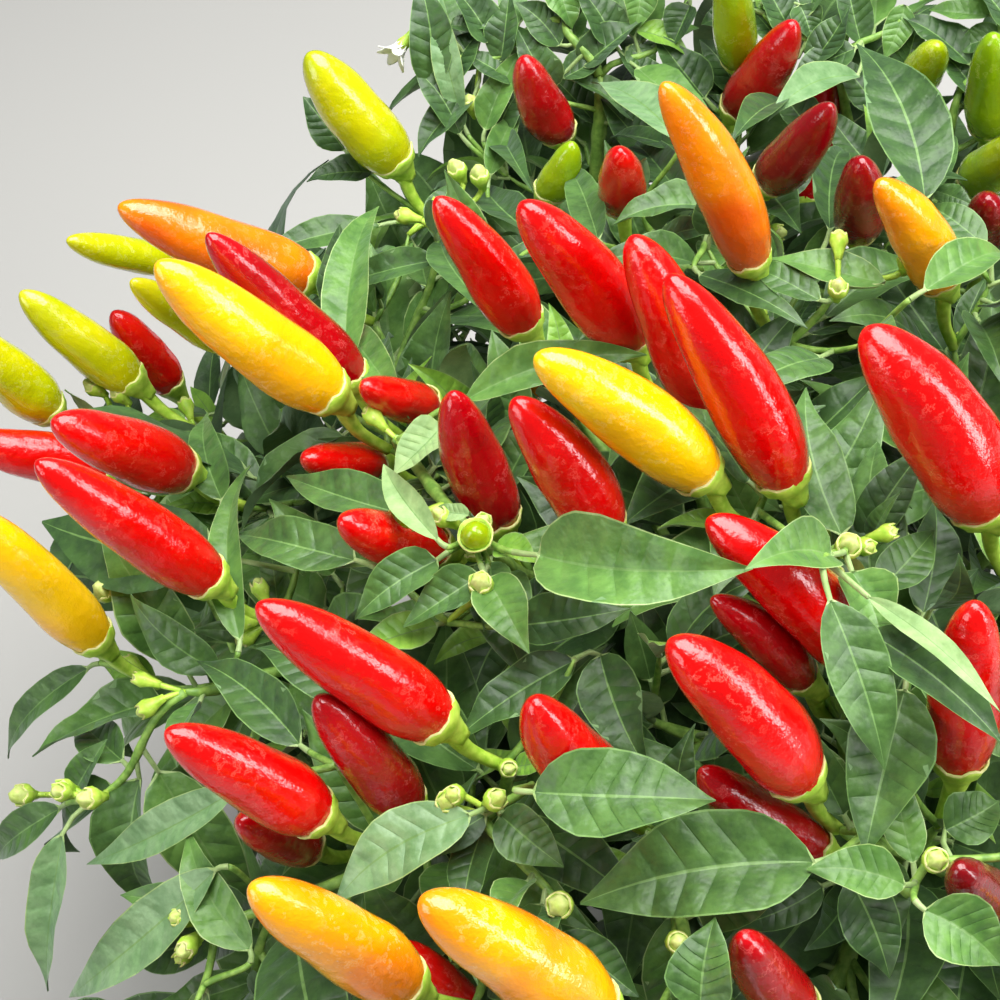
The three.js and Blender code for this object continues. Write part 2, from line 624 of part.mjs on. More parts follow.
// The path and radii of a twig. A mass's stem starts as wide as its bough's tip.
function shapeTwig(mass, twig) {
  const own = mass.joints.slice(twig.first, twig.last + 1);
  const path = [mass.joints[twig.from].at, ...own.map((joint) => joint.at)];
  const radii = [own[0], ...own].map((joint) => twigRadius(joint.load));
  if (twig.from === 0) {
    path.splice(1, 0, path[0].clone().addScaledVector(mass.joints[0].along, 2));
    radii[0] = mass.stemRadius;
    radii.splice(1, 0, mass.stemRadius);
  }
  const sides = path.map(() => (twig.from === 0 ? 2 * TWIG.sides : TWIG.sides));
  Object.assign(twig, { path, radii, sides });
}

// A twig, and the pedicel and fruit that carry on from its tip. The fruit has twice the sides.
function twigSolid({ path, radii, sides }, fruit) {
  if (!fruit) return limb(path, radii, sides);
  const thin = fruit.path.slice(1, 3);
  const thick = fruit.path.slice(3);
  return limb([...path, ...thin, ...thick], [...radii, ...fruit.radii.slice(1)],
    [...sides, ...thin.map(() => sides.at(-1)), ...thick.map(() => FRUIT.sides)]);
}

// Leaves: a few near each shoot's tip, faces turned to the light, larger than life to fill the crown

// The point a given distance back along a path from its end
function backAlong(path, distance) {
  let left = distance;
  for (let i = path.length - 1; i > 0; i -= 1) {
    const long = path[i].distanceTo(path[i - 1]);
    if (left <= long) return path[i].clone().lerp(path[i - 1], left / long);
    left -= long;
  }
  return path[1].clone().lerp(path[0], 0.5);
}

function leafAt(at, axis, around, long, roll) {
  const spread = degToRad(between(roll, 48, 84));
  const guide = Math.abs(axis.z) > 0.9 ? vec(1, 0, 0) : UP;
  const side = guide.clone().cross(axis).normalize();
  const over = axis.clone().cross(side);
  const along = axis.clone().multiplyScalar(Math.cos(spread))
    .addScaledVector(side, Math.sin(spread) * Math.cos(around))
    .addScaledVector(over, Math.sin(spread) * Math.sin(around));
  const light = UP.clone().add(outward(at)).add(vec(
    between(roll, -0.5, 0.5), between(roll, -0.5, 0.5), between(roll, -0.3, 0.3)));
  const face = light.addScaledVector(along, -light.dot(along)).normalize();
  return {
    root: at.clone().addScaledVector(along, -LEAF.sunk), along, face, long,
    wide: long * LEAF.width * between(roll, 0.85, 1.1),
    fold: LEAF.fold * between(roll, 0.2, 1), droop: LEAF.droop * between(roll, 0.3, 1.6),
  };
}

// Building the bodies

const pieces = [];                // solids so far, with the body they belong to and their box

function boxesMeet(one, two, room) {
  return [0, 1, 2].every((k) => one.min[k] - room < two.max[k] && two.min[k] - room < one.max[k]);
}

function meetsPieces(solid, test) {
  const box = solid.boundingBox();
  return pieces.some((piece) => test(piece) && boxesMeet(box, piece.box, GAP)
    && solid.minGap(piece.solid, 2 * GAP) < GAP);
}

function addPiece(solid, body, kind) {
  pieces.push({ solid, body, kind, box: solid.boundingBox() });
  return solid;
}

// The largest body of a joined solid: drops loose scraps and fills sealed hollows
function oneBody(solid) {
  const bodies = solid.decompose().sort((one, two) => two.volume() - one.volume());
  return bodies[0];
}

const bodies = [];

function buildLimbs() {
  const main = limb(stem.path, stem.radii, STEM.sides);
  bodies.push({ name: 'main_stem', solid: addPiece(main, 'main_stem', 'limb'), look: 'bark' });
  const thicker = new Map([['main_stem', limb(stem.path, stem.radii.map((r) => r + GAP), STEM.sides)]]);
  for (const bough of boughs) {
    let solid = limb(bough.path, bough.radii, BOUGH_SIDES);
    for (const other of thicker.values()) solid = solid.subtract(other);
    solid = oneBody(solid);
    thicker.set(bough.name, limb(bough.path, bough.radii.map((r) => r + GAP), BOUGH_SIDES));
    bodies.push({ name: bough.name, solid: addPiece(solid, bough.name, 'limb'), look: 'stem' });
  }
}

function buildTwigsAndFruit(mass) {
  mass.parts = mass.twigs.map((twig) => {
    shapeTwig(mass, twig);
    const { fruit } = twig.shoot;
    const bearing = twigSolid(twig, fruit);
    const others = (piece) => piece.body !== mass.name;
    if (fruit && !meetsPieces(bearing, others)) return addPiece(bearing, mass.name, 'fruit');
    return addPiece(twigSolid(twig, null), mass.name, 'twig');
  });
}

// True where a leaf keeps to its mass's space, off the ground, and out of the view of placed fruit
function leafHasRoom(mass, shoot, tip, middle) {
  const home = tip.distanceTo(mass.middle) - tip.distanceTo(massAt(tip).middle);
  if (home > ROSETTE.stray || tip.z < ROSETTE.lowest) return false;
  if (!shoot.placed && inWindow(tip)) return false;
  return !hidesFruit(tip, KEEP_CLEAR.leafTip) && !hidesFruit(middle, KEEP_CLEAR.leafMiddle);
}

function buildLeaves(mass, m) {
  mass.twigs.forEach((twig, i) => {
    const roll = dice(SEED + 1000 + 100 * m + i);
    const own = mass.parts[i];
    const axis = twig.path.at(-1).clone().sub(twig.path.at(-2)).normalize();
    const turn = roll() * 2 * Math.PI;
    const others = (piece) => piece.solid !== own;
    for (let k = 0; k < ROSETTE.leaves; k += 1) {
      const at = backAlong(twig.path, ROSETTE.first + ROSETTE.apart * k);
      let long = between(roll, LEAF.shortest, LEAF.longest);
      for (let attempt = 0; attempt < ROSETTE.tries; attempt += 1) {
        const around = turn + k * GOLDEN_ANGLE + attempt * 0.7 + between(roll, -0.3, 0.3);
        const shape = leafAt(at, axis, around, long, roll);
        const tip = shape.root.clone().addScaledVector(shape.along, shape.long);
        const middle = shape.root.clone().lerp(tip, 0.5);
        long *= ROSETTE.shrink;
        if (!leafHasRoom(mass, twig.shoot, tip, middle)) continue;
        const solid = leaf(shape);
        if (meetsPieces(solid, others)) continue;
        mass.parts.push(addPiece(solid, mass.name, 'leaf'));
        break;
      }
    }
  });
}

buildLimbs();
masses.forEach(buildTwigsAndFruit);
masses.forEach(buildLeaves);
for (const mass of masses) {
  const joined = mass.parts.reduce((sum, part) => sum.add(part));
  bodies.push({ name: mass.name, solid: oneBody(joined), look: 'foliage' });
}

// Materials and meshes

const LOOKS = {
  bark: () => new THREE.MeshStandardMaterial({ color: 0x8a8b5c, roughness: 0.8, metalness: 0 }),
  stem: () => new THREE.MeshStandardMaterial({ color: 0x8fae5d, roughness: 0.6, metalness: 0 }),
  foliage: () => new THREE.MeshStandardMaterial({ color: 0x3f7443, roughness: 0.5, metalness: 0 }),
};

function meshOf({ name, solid, look }) {
  const { vertProperties, triVerts } = solid.getMesh();
  const geometry = new THREE.BufferGeometry();
  geometry.setAttribute('position', new THREE.BufferAttribute(vertProperties, 3));
  geometry.setIndex(new THREE.BufferAttribute(triVerts, 1));
  const mesh = new THREE.Mesh(mergeVertices(geometry), LOOKS[look]());
  mesh.name = name;
  return mesh;
}

const plant = new THREE.Group();
plant.name = 'chilli_pepper_plant';
plant.add(...bodies.map(meshOf));

export default plant;
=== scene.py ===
# %% [markdown]
# # A chilli pepper plant in fruit
#
# The plant is a low bush: a short green stem, spreading boughs, and a dense crown of leaves out of
# which upright fruit stand in every stage of ripeness. The frame holds it as plain solids, with one
# solid for each mass of foliage. This notebook grows each mass again by the same rule and with the same
# dice, but as what the real plant has: thin ridged twigs, leaves with veins, and glossy fruit.
#
# Growth is worked out in millimetres, as a gardener would measure it, and meshes are made in metres.

import json
import math
from types import SimpleNamespace as Sizes

import bpy
import numpy as np
from mathutils import Matrix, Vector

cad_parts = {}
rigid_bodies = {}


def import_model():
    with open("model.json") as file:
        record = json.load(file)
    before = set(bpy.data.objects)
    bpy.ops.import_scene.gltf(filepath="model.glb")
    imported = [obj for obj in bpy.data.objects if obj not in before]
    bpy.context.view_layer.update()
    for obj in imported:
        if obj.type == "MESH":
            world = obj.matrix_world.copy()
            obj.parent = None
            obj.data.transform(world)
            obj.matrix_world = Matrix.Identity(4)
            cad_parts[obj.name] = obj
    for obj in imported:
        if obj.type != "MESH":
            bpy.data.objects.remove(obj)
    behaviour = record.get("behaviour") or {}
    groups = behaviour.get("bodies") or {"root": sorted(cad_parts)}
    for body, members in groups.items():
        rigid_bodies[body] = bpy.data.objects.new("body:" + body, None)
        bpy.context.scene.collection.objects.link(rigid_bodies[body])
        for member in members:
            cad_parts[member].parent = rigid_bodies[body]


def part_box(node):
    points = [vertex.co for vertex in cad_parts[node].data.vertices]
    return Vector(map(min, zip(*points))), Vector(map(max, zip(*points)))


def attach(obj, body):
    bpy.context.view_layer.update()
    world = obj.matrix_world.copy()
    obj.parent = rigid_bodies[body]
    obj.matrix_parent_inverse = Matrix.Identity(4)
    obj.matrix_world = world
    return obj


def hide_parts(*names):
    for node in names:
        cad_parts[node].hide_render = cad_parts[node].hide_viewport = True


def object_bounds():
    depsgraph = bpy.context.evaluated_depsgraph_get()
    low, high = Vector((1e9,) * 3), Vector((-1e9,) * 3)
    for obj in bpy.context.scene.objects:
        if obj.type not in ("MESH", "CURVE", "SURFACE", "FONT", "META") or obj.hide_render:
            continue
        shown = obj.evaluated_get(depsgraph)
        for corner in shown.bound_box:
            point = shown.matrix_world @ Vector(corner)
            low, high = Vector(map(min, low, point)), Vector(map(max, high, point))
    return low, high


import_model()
cad_box = [list(corner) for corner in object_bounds()]

MM = 0.001
BOX_LOW, BOX_HIGH = (np.array(corner) / MM for corner in cad_box)
print("the frame spans, in mm,", BOX_LOW.round(), "to", BOX_HIGH.round())

# %% [markdown]
# ## Vectors and dice
#
# A plant looks random, but the script has to grow the same one each time. So each shoot, leaf or bud
# gets dice of its own: a small stream of numbers that always starts from the same seed. Each kind of
# part counts its seeds from another number, so that no two share their dice.

# %% Vectors and dice
SEED = 41
FIRST_SEED = Sizes(placed_fruit=SEED + 100, spiral=SEED + 300, fruit_skin=SEED + 2000,
                   placed_leaf=SEED + 3000, sprig=SEED + 5000, bud=SEED + 6000, young_fruit=SEED + 6500,
                   blossom=SEED + 6800, rosette=SEED + 7000, cluster=SEED + 8000,
                   sprig_leaf=SEED + 9000, gap_in_picture=SEED + 11000, gap_at_side=SEED + 11001)
UP = np.array([0.0, 0.0, 1.0])
GOLDEN_ANGLE = math.pi * (3 - math.sqrt(5))


def vec(x, y, z):
    return np.array([x, y, z], float)


def unit(v):
    return v / np.maximum(np.linalg.norm(v, axis=-1, keepdims=True), 1e-12)


def lerp(a, b, t):
    return a + (b - a) * t


def dice(seed):
    state = seed * 2654435761 % 2**32

    def roll(low=0.0, high=1.0):
        nonlocal state
        state = (state * 1664525 + 1013904223) % 2**32
        return low + (high - low) * (state / 2**32)

    return roll


def bezier(controls, t):
    """Points of a cubic Bezier curve at the shares t of its way"""
    a, b, c, d = controls
    t = np.asarray(t, float)[:, None]
    return a * (1 - t) ** 3 + 3 * b * t * (1 - t) ** 2 + 3 * c * t**2 * (1 - t) + d * t**3


first_dice = dice(SEED)
print("three throws of the first dice:", [round(first_dice(), 3) for _ in range(3)])

# %% [markdown]
# ## The view and the crown
#
# The camera looks down on the near side of the bush from close by, tilted a little. Fruit and leaves
# that the picture shows are given by the pixels that they span. A sight line through such a pixel meets
# the crown, a flattened egg shape, at the place where the fruit or leaf stands.

# %% The view and the crown
VIEW = Sizes(elevation=48, roll=12, distance=620, focal=2005, middle=500, frame=1000, aim=(690, 680))
CROWN = Sizes(across=205, up=132, down=95, middle=vec(0, 0, 168))

tilt, twist = math.radians(VIEW.elevation), math.radians(VIEW.roll)
LEVEL = vec(1, 0, 0)
UPRIGHT = vec(0, math.sin(tilt), math.cos(tilt))
FORWARD = vec(0, math.cos(tilt), -math.sin(tilt))
RIGHT = LEVEL * math.cos(twist) - UPRIGHT * math.sin(twist)
ABOVE = UPRIGHT * math.cos(twist) + LEVEL * math.sin(twist)


def sight(pixel):
    x, y = pixel
    return FORWARD + RIGHT * (x - VIEW.middle) / VIEW.focal + ABOVE * (VIEW.middle - y) / VIEW.focal


EYE = CROWN.middle - sight(VIEW.aim) * VIEW.distance


def in_frame(points):
    """Pixel x, pixel y and depth from the eye of one point or of many"""
    away = points - EYE
    depth = away @ FORWARD
    scale = VIEW.focal / depth
    return VIEW.middle + away @ RIGHT * scale, VIEW.middle - away @ ABOVE * scale, depth


def on_crown(pixel, reach, back=0):
    """Where a sight line first meets the crown, scaled by reach, and from there some way further back"""
    ray = sight(pixel)
    for height in (CROWN.up, CROWN.down):
        half = vec(CROWN.across, CROWN.across, height) * reach
        start, step = (EYE - CROWN.middle) / half, ray / half
        a, b = step @ step, start @ step
        inside = max(b * b - a * (start @ start - 1), 0)
        point = EYE + ray * ((-b - math.sqrt(inside)) / a + back)
        if point[2] >= CROWN.middle[2]:
            break
    return point


def end_on_sight(foot, pixel, long):
    """The end of something of a known length that starts at foot, on a pixel's sight line"""
    ray = unit(sight(pixel))
    away = foot - EYE
    along = away @ ray
    aside = away @ away - along * along
    return EYE + ray * (along - math.sqrt(max(long * long - aside, 0)))


def outward(points):
    away = points - CROWN.middle
    height = np.where(away[..., 2:] > 0, CROWN.up, CROWN.down)
    half = np.concatenate([np.full_like(height, CROWN.across)] * 2 + [height], axis=-1)
    return unit(away / half**2)


print("the eye is at", EYE.round(), "mm")

# %% [markdown]
# ## Stem and boughs
#
# The stem leans a little, tapers, and flares where the roots begin. Seven low boughs leave it one above
# the other, well apart round the stem. At its top it forks in three, and those forks carry the five high
# boughs and the top. Each path below repeats the frame's, so that what is modelled here lies where the
# plain solids are.

# %% Stem and boughs
STEM = Sizes(height=96, base=5, top=3.9, flare=10, flare_height=14, upright=7, lean=6, steps=7)
LOW_BOUGHS = Sizes(count=7, first=34, rise=6, reach=84, end=92, root=2.7, tip=2.0, turn=12, steps=4,
                   leave=(1, 0.55), arrive=(1, 0.35))
FORK_BOUGHS = Sizes(angles=(36, 180, 288), reach=44, end=148, root=3.3, tip=2.9, steps=3,
                    leave=(0.5, 1), arrive=(0.6, 1))
HIGH_BOUGHS = Sizes(count=5, reach=84, end=190, root=2.5, tip=2.0, steps=3, leave=(0.7, 1), arrive=(0.9, 0.8))
TOP_BOUGH = Sizes(end=(288, 8, 206), steps=4, leave=(100, 0.5, 1), arrive=(60, 0.15, 1))
LOW_MASS = Sizes(reach=142, height=112)
HIGH_MASS = Sizes(reach=102, height=208)
TOP_MASS = Sizes(reach=0, height=242)
TWIG = Sizes(thin=1.2, thick=3.0, share=0.42, step=21, bend=0.38, lazy=0.3, clear=0.8, guess=1.3)
GAP = 0.3


def stem_at(rise):
    """Middle line and radius of the main stem at shares of its height"""
    z = STEM.height * rise
    leaning = np.maximum(0, z - STEM.upright) / (STEM.height - STEM.upright)
    flare = np.maximum(0, 1 - z / STEM.flare_height) ** 2
    path = np.stack([STEM.lean * leaning**1.6, -0.5 * STEM.lean * leaning**2, z], axis=-1)
    return path, lerp(STEM.base, STEM.top, rise) + (STEM.flare - STEM.base) * flare


def capsules_of(path, radii):
    """One row for each straight stretch: its two ends and their two radii"""
    radii = np.broadcast_to(radii, len(path))[:, None]
    return np.hstack([path[:-1], path[1:], radii[:-1], radii[1:]])


def spoke(degrees, reach, height):
    """A place or a way that lies so far out from the middle, at an angle round it, and so high"""
    return vec(reach * math.cos(math.radians(degrees)), reach * math.sin(math.radians(degrees)), height)


def bent(start, leave, end, arrive):
    """The four controls of a curve that leaves and arrives in the ways given"""
    long = np.linalg.norm(end - start)
    return start, start + leave * long * TWIG.bend, end - arrive * long * TWIG.bend, end


def bough_between(name, start, leave, end, arrive, root, tip, steps):
    controls = bent(start, unit(leave), end, unit(arrive))
    path = bezier(controls, np.linspace(0, 1, steps + 1))
    rows = capsules_of(path, np.linspace(root, tip, steps + 1))
    bough = Sizes(name=name, controls=controls, path=path, root=root, tip=tip, rows=rows,
                  arrive=unit(path[-1] - path[-2]))
    boughs.append(bough)
    return bough


def mass_on(bough, name, middle):
    masses.append(Sizes(name=name, bough=bough, middle=middle, number=len(masses)))


boughs, masses = [], []
stem_path, stem_radii = stem_at((np.arange(STEM.steps + 1) / STEM.steps) ** 1.4)
fork = stem_path[-1]

for k in range(LOW_BOUGHS.count):
    around = (k * 3 % LOW_BOUGHS.count) * (360 / LOW_BOUGHS.count) + LOW_BOUGHS.turn
    height = LOW_BOUGHS.first + LOW_BOUGHS.rise * k
    foot = stem_path[stem_path[:, 2] <= height][-1]
    bough = bough_between(
        f"low_bough_{k + 1}", vec(foot[0], foot[1], height), spoke(around, *LOW_BOUGHS.leave),
        spoke(around, LOW_BOUGHS.reach, LOW_BOUGHS.end), spoke(around, *LOW_BOUGHS.arrive),
        LOW_BOUGHS.root, LOW_BOUGHS.tip, LOW_BOUGHS.steps)
    mass_on(bough, f"low_foliage_{k + 1}", spoke(around, LOW_MASS.reach, LOW_MASS.height))

forks = [
    bough_between(
        f"fork_bough_{'abc'[k]}", fork, spoke(around, *FORK_BOUGHS.leave),
        spoke(around, FORK_BOUGHS.reach, FORK_BOUGHS.end), spoke(around, *FORK_BOUGHS.arrive),
        FORK_BOUGHS.root, FORK_BOUGHS.tip, FORK_BOUGHS.steps)
    for k, around in enumerate(FORK_BOUGHS.angles)
]
for k in range(HIGH_BOUGHS.count):
    around = 360 / HIGH_BOUGHS.count * k
    bough = bough_between(
        f"high_bough_{k + 1}", forks[k // 2].path[-1], spoke(around, *HIGH_BOUGHS.leave),
        spoke(around, HIGH_BOUGHS.reach, HIGH_BOUGHS.end), spoke(around, *HIGH_BOUGHS.arrive),
        HIGH_BOUGHS.root, HIGH_BOUGHS.tip, HIGH_BOUGHS.steps)
    mass_on(bough, f"high_foliage_{k + 1}", spoke(around, HIGH_MASS.reach, HIGH_MASS.height))
top = bough_between(
    "top_bough", forks[2].path[-1], spoke(*TOP_BOUGH.leave), spoke(*TOP_BOUGH.end),
    spoke(*TOP_BOUGH.arrive), HIGH_BOUGHS.root, HIGH_BOUGHS.tip, TOP_BOUGH.steps)
mass_on(top, "top_foliage", spoke(0, TOP_MASS.reach, TOP_MASS.height))


def mass_at(point):
    return masses[int(np.argmin([((mass.middle - point) ** 2).sum() for mass in masses]))]


off = max(abs(np.array(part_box(bough.name)[1])[2] / MM - bough.path[-1][2]) for bough in boughs)
print(len(boughs), "boughs carry", len(masses), "masses; tips within", round(off, 1), "mm of the frame's")

# %% [markdown]
# ## Where the fruit stand
#
# The fruit that the picture shows are listed by the pixels of foot and tip, with their length and width
# in millimetres, how far out they stand, how far they are set back behind that, and how ripe they are;
# one tone is crimson skin with painted shade, for fruit that lie deep in the crown.
# Each grows on a shoot a stalk's length behind its foot. The rest of the crown gets its shoots from a
# spiral with golden-angle turns, the spacing that plants use themselves, and some of those bear fruit
# too.

# %% Where the fruit stand
SPIRAL = Sizes(count=230, lowest=-0.86, reach=0.83, spread=0.08, apart=31.5, loose=0.15)
FRUIT = Sizes(shortest=44, longest=60, slim=0.33, plump=(0.92, 1.12), bow=0.05, share=0.46, level=0.2,
              upper=1.25, fewest=0.3, most=1.3, aside=(-0.3, 0.3), upwards=(0.35, 0.9),
              stalk=26, homeward=0.62, stalk_root=1.2, stalk_end=2.1, knee=0.55, sag=0.06, lap=0.5)
FRUIT_PROFILE = [(0, 0.42), (0.12, 0.93), (0.56, 0.9), (1, 0)]
KEEP_CLEAR = 26

PLACED_FRUIT = [
    ((397, 163), (308, 53), 50, 20, 0.97, 0, "lemon"),
    ((309, 277), (118, 206), 64, 19, 1.03, 0, "orange"),
    ((175, 262), (67, 240), 45, 14, 0.9, 0, "lemon"),
    ((354, 380), (207, 234), 62, 16, 1.0, 0, "crimson"),
    ((332, 395), (156, 263), 63, 19, 1.09, 0, "yellow"),
    ((230, 345), (131, 281), 50, 14, 0.95, 0, "lemon"),
    ((134, 382), (20, 292), 48, 18, 1.04, 0, "lemon"),
    ((172, 386), (113, 312), 38, 14, 0.9, 26, "red"),
    ((51, 411), (-45, 325), 46, 17, 1.0, 0, "lemon"),
    ((185, 472), (53, 421), 50, 18, 1.02, 0, "red"),
    ((110, 470), (-45, 440), 50, 17, 0.9, 0, "red"),
    ((212, 580), (36, 462), 62, 18, 1.06, 0, "red"),
    ((97, 640), (-38, 508), 58, 18, 1.04, 0, "yellow"),
    ((440, 722), (257, 604), 56, 18, 1.08, 0, "red"),
    ((408, 806), (317, 697), 46, 15, 0.95, 0, "crimson"),
    ((319, 815), (166, 731), 50, 17, 1.06, 0, "red"),
    ((308, 846), (240, 822), 40, 14, 0.86, 0, "crimson"),
    ((410, 985), (250, 886), 54, 17, 1.04, 0, "amber"),
    ((470, 1020), (400, 944), 36, 12, 0.9, 18, "red"),
    ((600, 1012), (421, 899), 58, 19, 1.08, 0, "amber"),
    ((525, 325), (436, 198), 50, 18, 0.97, 0, "red"),
    ((632, 342), (521, 203), 56, 19, 1.02, 0, "red"),
    ((710, 412), (632, 236), 56, 18, 0.97, 0, "red"),
    ((787, 480), (668, 275), 64, 19, 1.05, 0, "red"),
    ((704, 474), (536, 355), 58, 18, 1.09, 0, "yellow"),
    ((605, 530), (514, 399), 48, 17, 1.0, 0, "red"),
    ((752, 262), (663, 83), 66, 21, 1.02, 0, "orange"),
    ((942, 282), (878, 181), 46, 18, 0.98, 0, "amber"),
    ((988, 508), (866, 328), 60, 23, 1.06, 0, "red"),
    ((862, 660), (708, 518), 56, 17, 0.98, 0, "red"),
    ((805, 680), (712, 598), 40, 12, 0.9, 0, "crimson"),
    ((802, 778), (670, 640), 52, 19, 1.05, 0, "red"),
    ((610, 790), (532, 700), 42, 17, 1.0, 0, "red"),
    ((958, 765), (975, 602), 48, 17, 0.97, 0, "red"),
    ((820, 850), (700, 770), 44, 13, 0.88, 0, "crimson"),
    ((800, 1010), (742, 935), 38, 14, 0.92, 0, "crimson"),
    ((1010, 905), (957, 868), 38, 13, 0.95, 0, "painted_shade_crimson"),
    ((500, 522), (452, 392), 46, 16, 0.9, 0, "crimson"),
    ((440, 548), (340, 520), 40, 14, 0.92, 0, "red"),
    ((548, 195), (573, 143), 24, 12, 0.97, 0, "lime"),
    ((560, 135), (523, 57), 38, 16, 0.95, 0, "crimson"),
    ((378, 462), (303, 458), 34, 12, 0.86, 0, "red"),
    ((430, 405), (362, 385), 34, 12, 0.93, 0, "red"),
    ((735, 110), (795, 22), 46, 16, 1.05, 0, "crimson"),
    ((768, 182), (832, 105), 44, 15, 1.0, 0, "painted_shade_crimson"),
    ((738, 62), (728, -40), 50, 17, 1.1, 0, "lime"),
    ((988, 128), (994, 35), 48, 16, 1.05, 0, "lime"),
    ((972, 182), (1030, 138), 44, 15, 1.0, 0, "lime"),
    ((858, 232), (862, 160), 40, 15, 0.95, 0, "painted_shade_crimson"),
    ((622, 205), (620, 150), 34, 14, 0.98, 0, "red"),
    ((985, 240), (988, 198), 30, 14, 0.95, 0, "painted_shade_crimson"),
    ((912, 88), (938, 45), 34, 13, 1.08, 0, "lime"),
]
PLACED_SHOOTS = [
    ((475, 537), 1.0), ((840, 545), 1.03), ((930, 860), 1.03), ((905, 893), 1.0), ((437, 235), 0.99),
    ((398, 440), 1.02), ((185, 692), 1.0), ((92, 800), 1.0), ((532, 785), 1.02), ((838, 287), 0.99),
    ((480, 815), 0.98), ((215, 925), 0.96), ((688, 955), 1.0), ((560, 905), 0.98), ((640, 205), 0.94),
    ((870, 590), 1.0), ((470, 60), 1.08), ((600, 75), 1.08), ((665, 40), 1.12), ((840, 60), 1.1),
    ((900, 20), 1.12), ((960, 90), 1.1), ((560, 20), 1.14), ((760, 10), 1.15), ((1000, 60), 1.1),
]
WINDOW = Sizes(left=5, right=235, top=590, bottom=1010)
BARE = [(620, 650, 55), (280, 1000, 100), (40, 500, 50), (370, 190, 45)]
OTHER_RIPENESS = ["red"] * 9 + ["crimson"] * 3 + ["orange", "amber", "yellow", "lime", "lime"]


def fruit_between(base, foot, tip, wide, bow):
    long = np.linalg.norm(tip - foot)
    along = unit(tip - foot)
    lift = np.cross(unit(np.cross(along, UP)), along)
    path = [base, lerp(base, foot, FRUIT.knee) - lift * FRUIT.sag * long]
    radii = [FRUIT.stalk_root, FRUIT.stalk_root * 1.2]
    for run, share in FRUIT_PROFILE:
        path.append(foot + along * run * long + lift * bow * long * 4 * run * (1 - run))
        radii.append(share * wide / 2)
    radii[2] = FRUIT.stalk_end
    path[2] = path[2] - along * FRUIT.lap
    rows = capsules_of(np.array(path), np.array(radii))
    return Sizes(base=base, foot=foot, tip=tip, wide=wide, bow=bow, along=along, lift=lift, long=long,
                 stalk=np.array(path[:3]), rows=rows, number=len(fruits))


def gaps(one, two):
    """The gap between each capsule of one set and each of another"""
    a, b, c, d = one[:, None, :3], one[:, None, 3:6], two[None, :, :3], two[None, :, 3:6]
    u, v, w = b - a, d - c, a - c
    uu, uv, vv, uw, vw = ((p * q).sum(-1) for p, q in ((u, u), (u, v), (v, v), (u, w), (v, w)))
    flat = uu * vv - uv * uv
    s = np.where(flat > 1e-9, np.clip((uv * vw - vv * uw) / np.maximum(flat, 1e-9), 0, 1), 0)
    t = np.where(vv > 1e-9, np.clip((uv * s + vw) / np.maximum(vv, 1e-9), 0, 1), 0)
    s = np.where(uu > 1e-9, np.clip((uv * t - uw) / np.maximum(uu, 1e-9), 0, 1), 0)
    near = np.linalg.norm(w + u * s[..., None] - v * t[..., None], axis=-1)
    return near - lerp(one[:, None, 6], one[:, None, 7], s) - lerp(two[None, :, 6], two[None, :, 7], t)


def too_near(one, two, clear=TWIG.clear):
    return len(one) > 0 and len(two) > 0 and bool((gaps(one, two) < clear).any())


def in_window(point):
    """The lower left of the picture looks past the crown, so no other shoot fills it"""
    x, y, _ = in_frame(point)
    return WINDOW.left < x < WINDOW.right and WINDOW.top < y < WINDOW.bottom


def is_bare(point):
    """Where the picture shows leaves alone, the rule adds no fruit"""
    x, y, _ = in_frame(point)
    return in_window(point) or any(math.hypot(x - across, y - down) < room for across, down, room in BARE)


def hides_fruit(point, room):
    """True where something at a point would stand between the eye and a placed fruit"""
    x, y, depth = in_frame(point)
    ax, ay, near = in_frame(placed_rows[:, :3])
    bx, by, _ = in_frame(placed_rows[:, 3:6])
    dx, dy = bx - ax, by - ay
    t = np.clip(((x - ax) * dx + (y - ay) * dy) / (dx * dx + dy * dy + 1e-9), 0, 1)
    aside = np.hypot(x - ax - t * dx, y - ay - t * dy)
    wide = lerp(placed_rows[:, 6], placed_rows[:, 7], t) * VIEW.focal / near
    return bool(((depth <= near) & (aside < wide + room)).any())


fruits, shoots = [], []
for i, (foot_pixel, tip_pixel, long, wide, reach, back, ripe) in enumerate(PLACED_FRUIT):
    roll = dice(FIRST_SEED.placed_fruit + i)
    foot = on_crown(foot_pixel, reach, back)
    tip = end_on_sight(foot, tip_pixel, long)
    homeward = unit(lerp(-outward(foot), -unit(tip - foot), FRUIT.homeward))
    base = foot + homeward * FRUIT.stalk
    fruit = fruit_between(base, foot, tip, wide, roll(-FRUIT.bow, FRUIT.bow))
    fruit.ripe = ripe
    fruits.append(fruit)
    shoots.append(Sizes(at=base, along=-homeward, fruit=fruit, placed=True))
placed_rows = np.concatenate([fruit.rows for fruit in fruits])
placed_count = len(fruits)
for pixel, reach in PLACED_SHOOTS:
    point = on_crown(pixel, reach)
    shoots.append(Sizes(at=point, along=outward(point), fruit=None, placed=True))

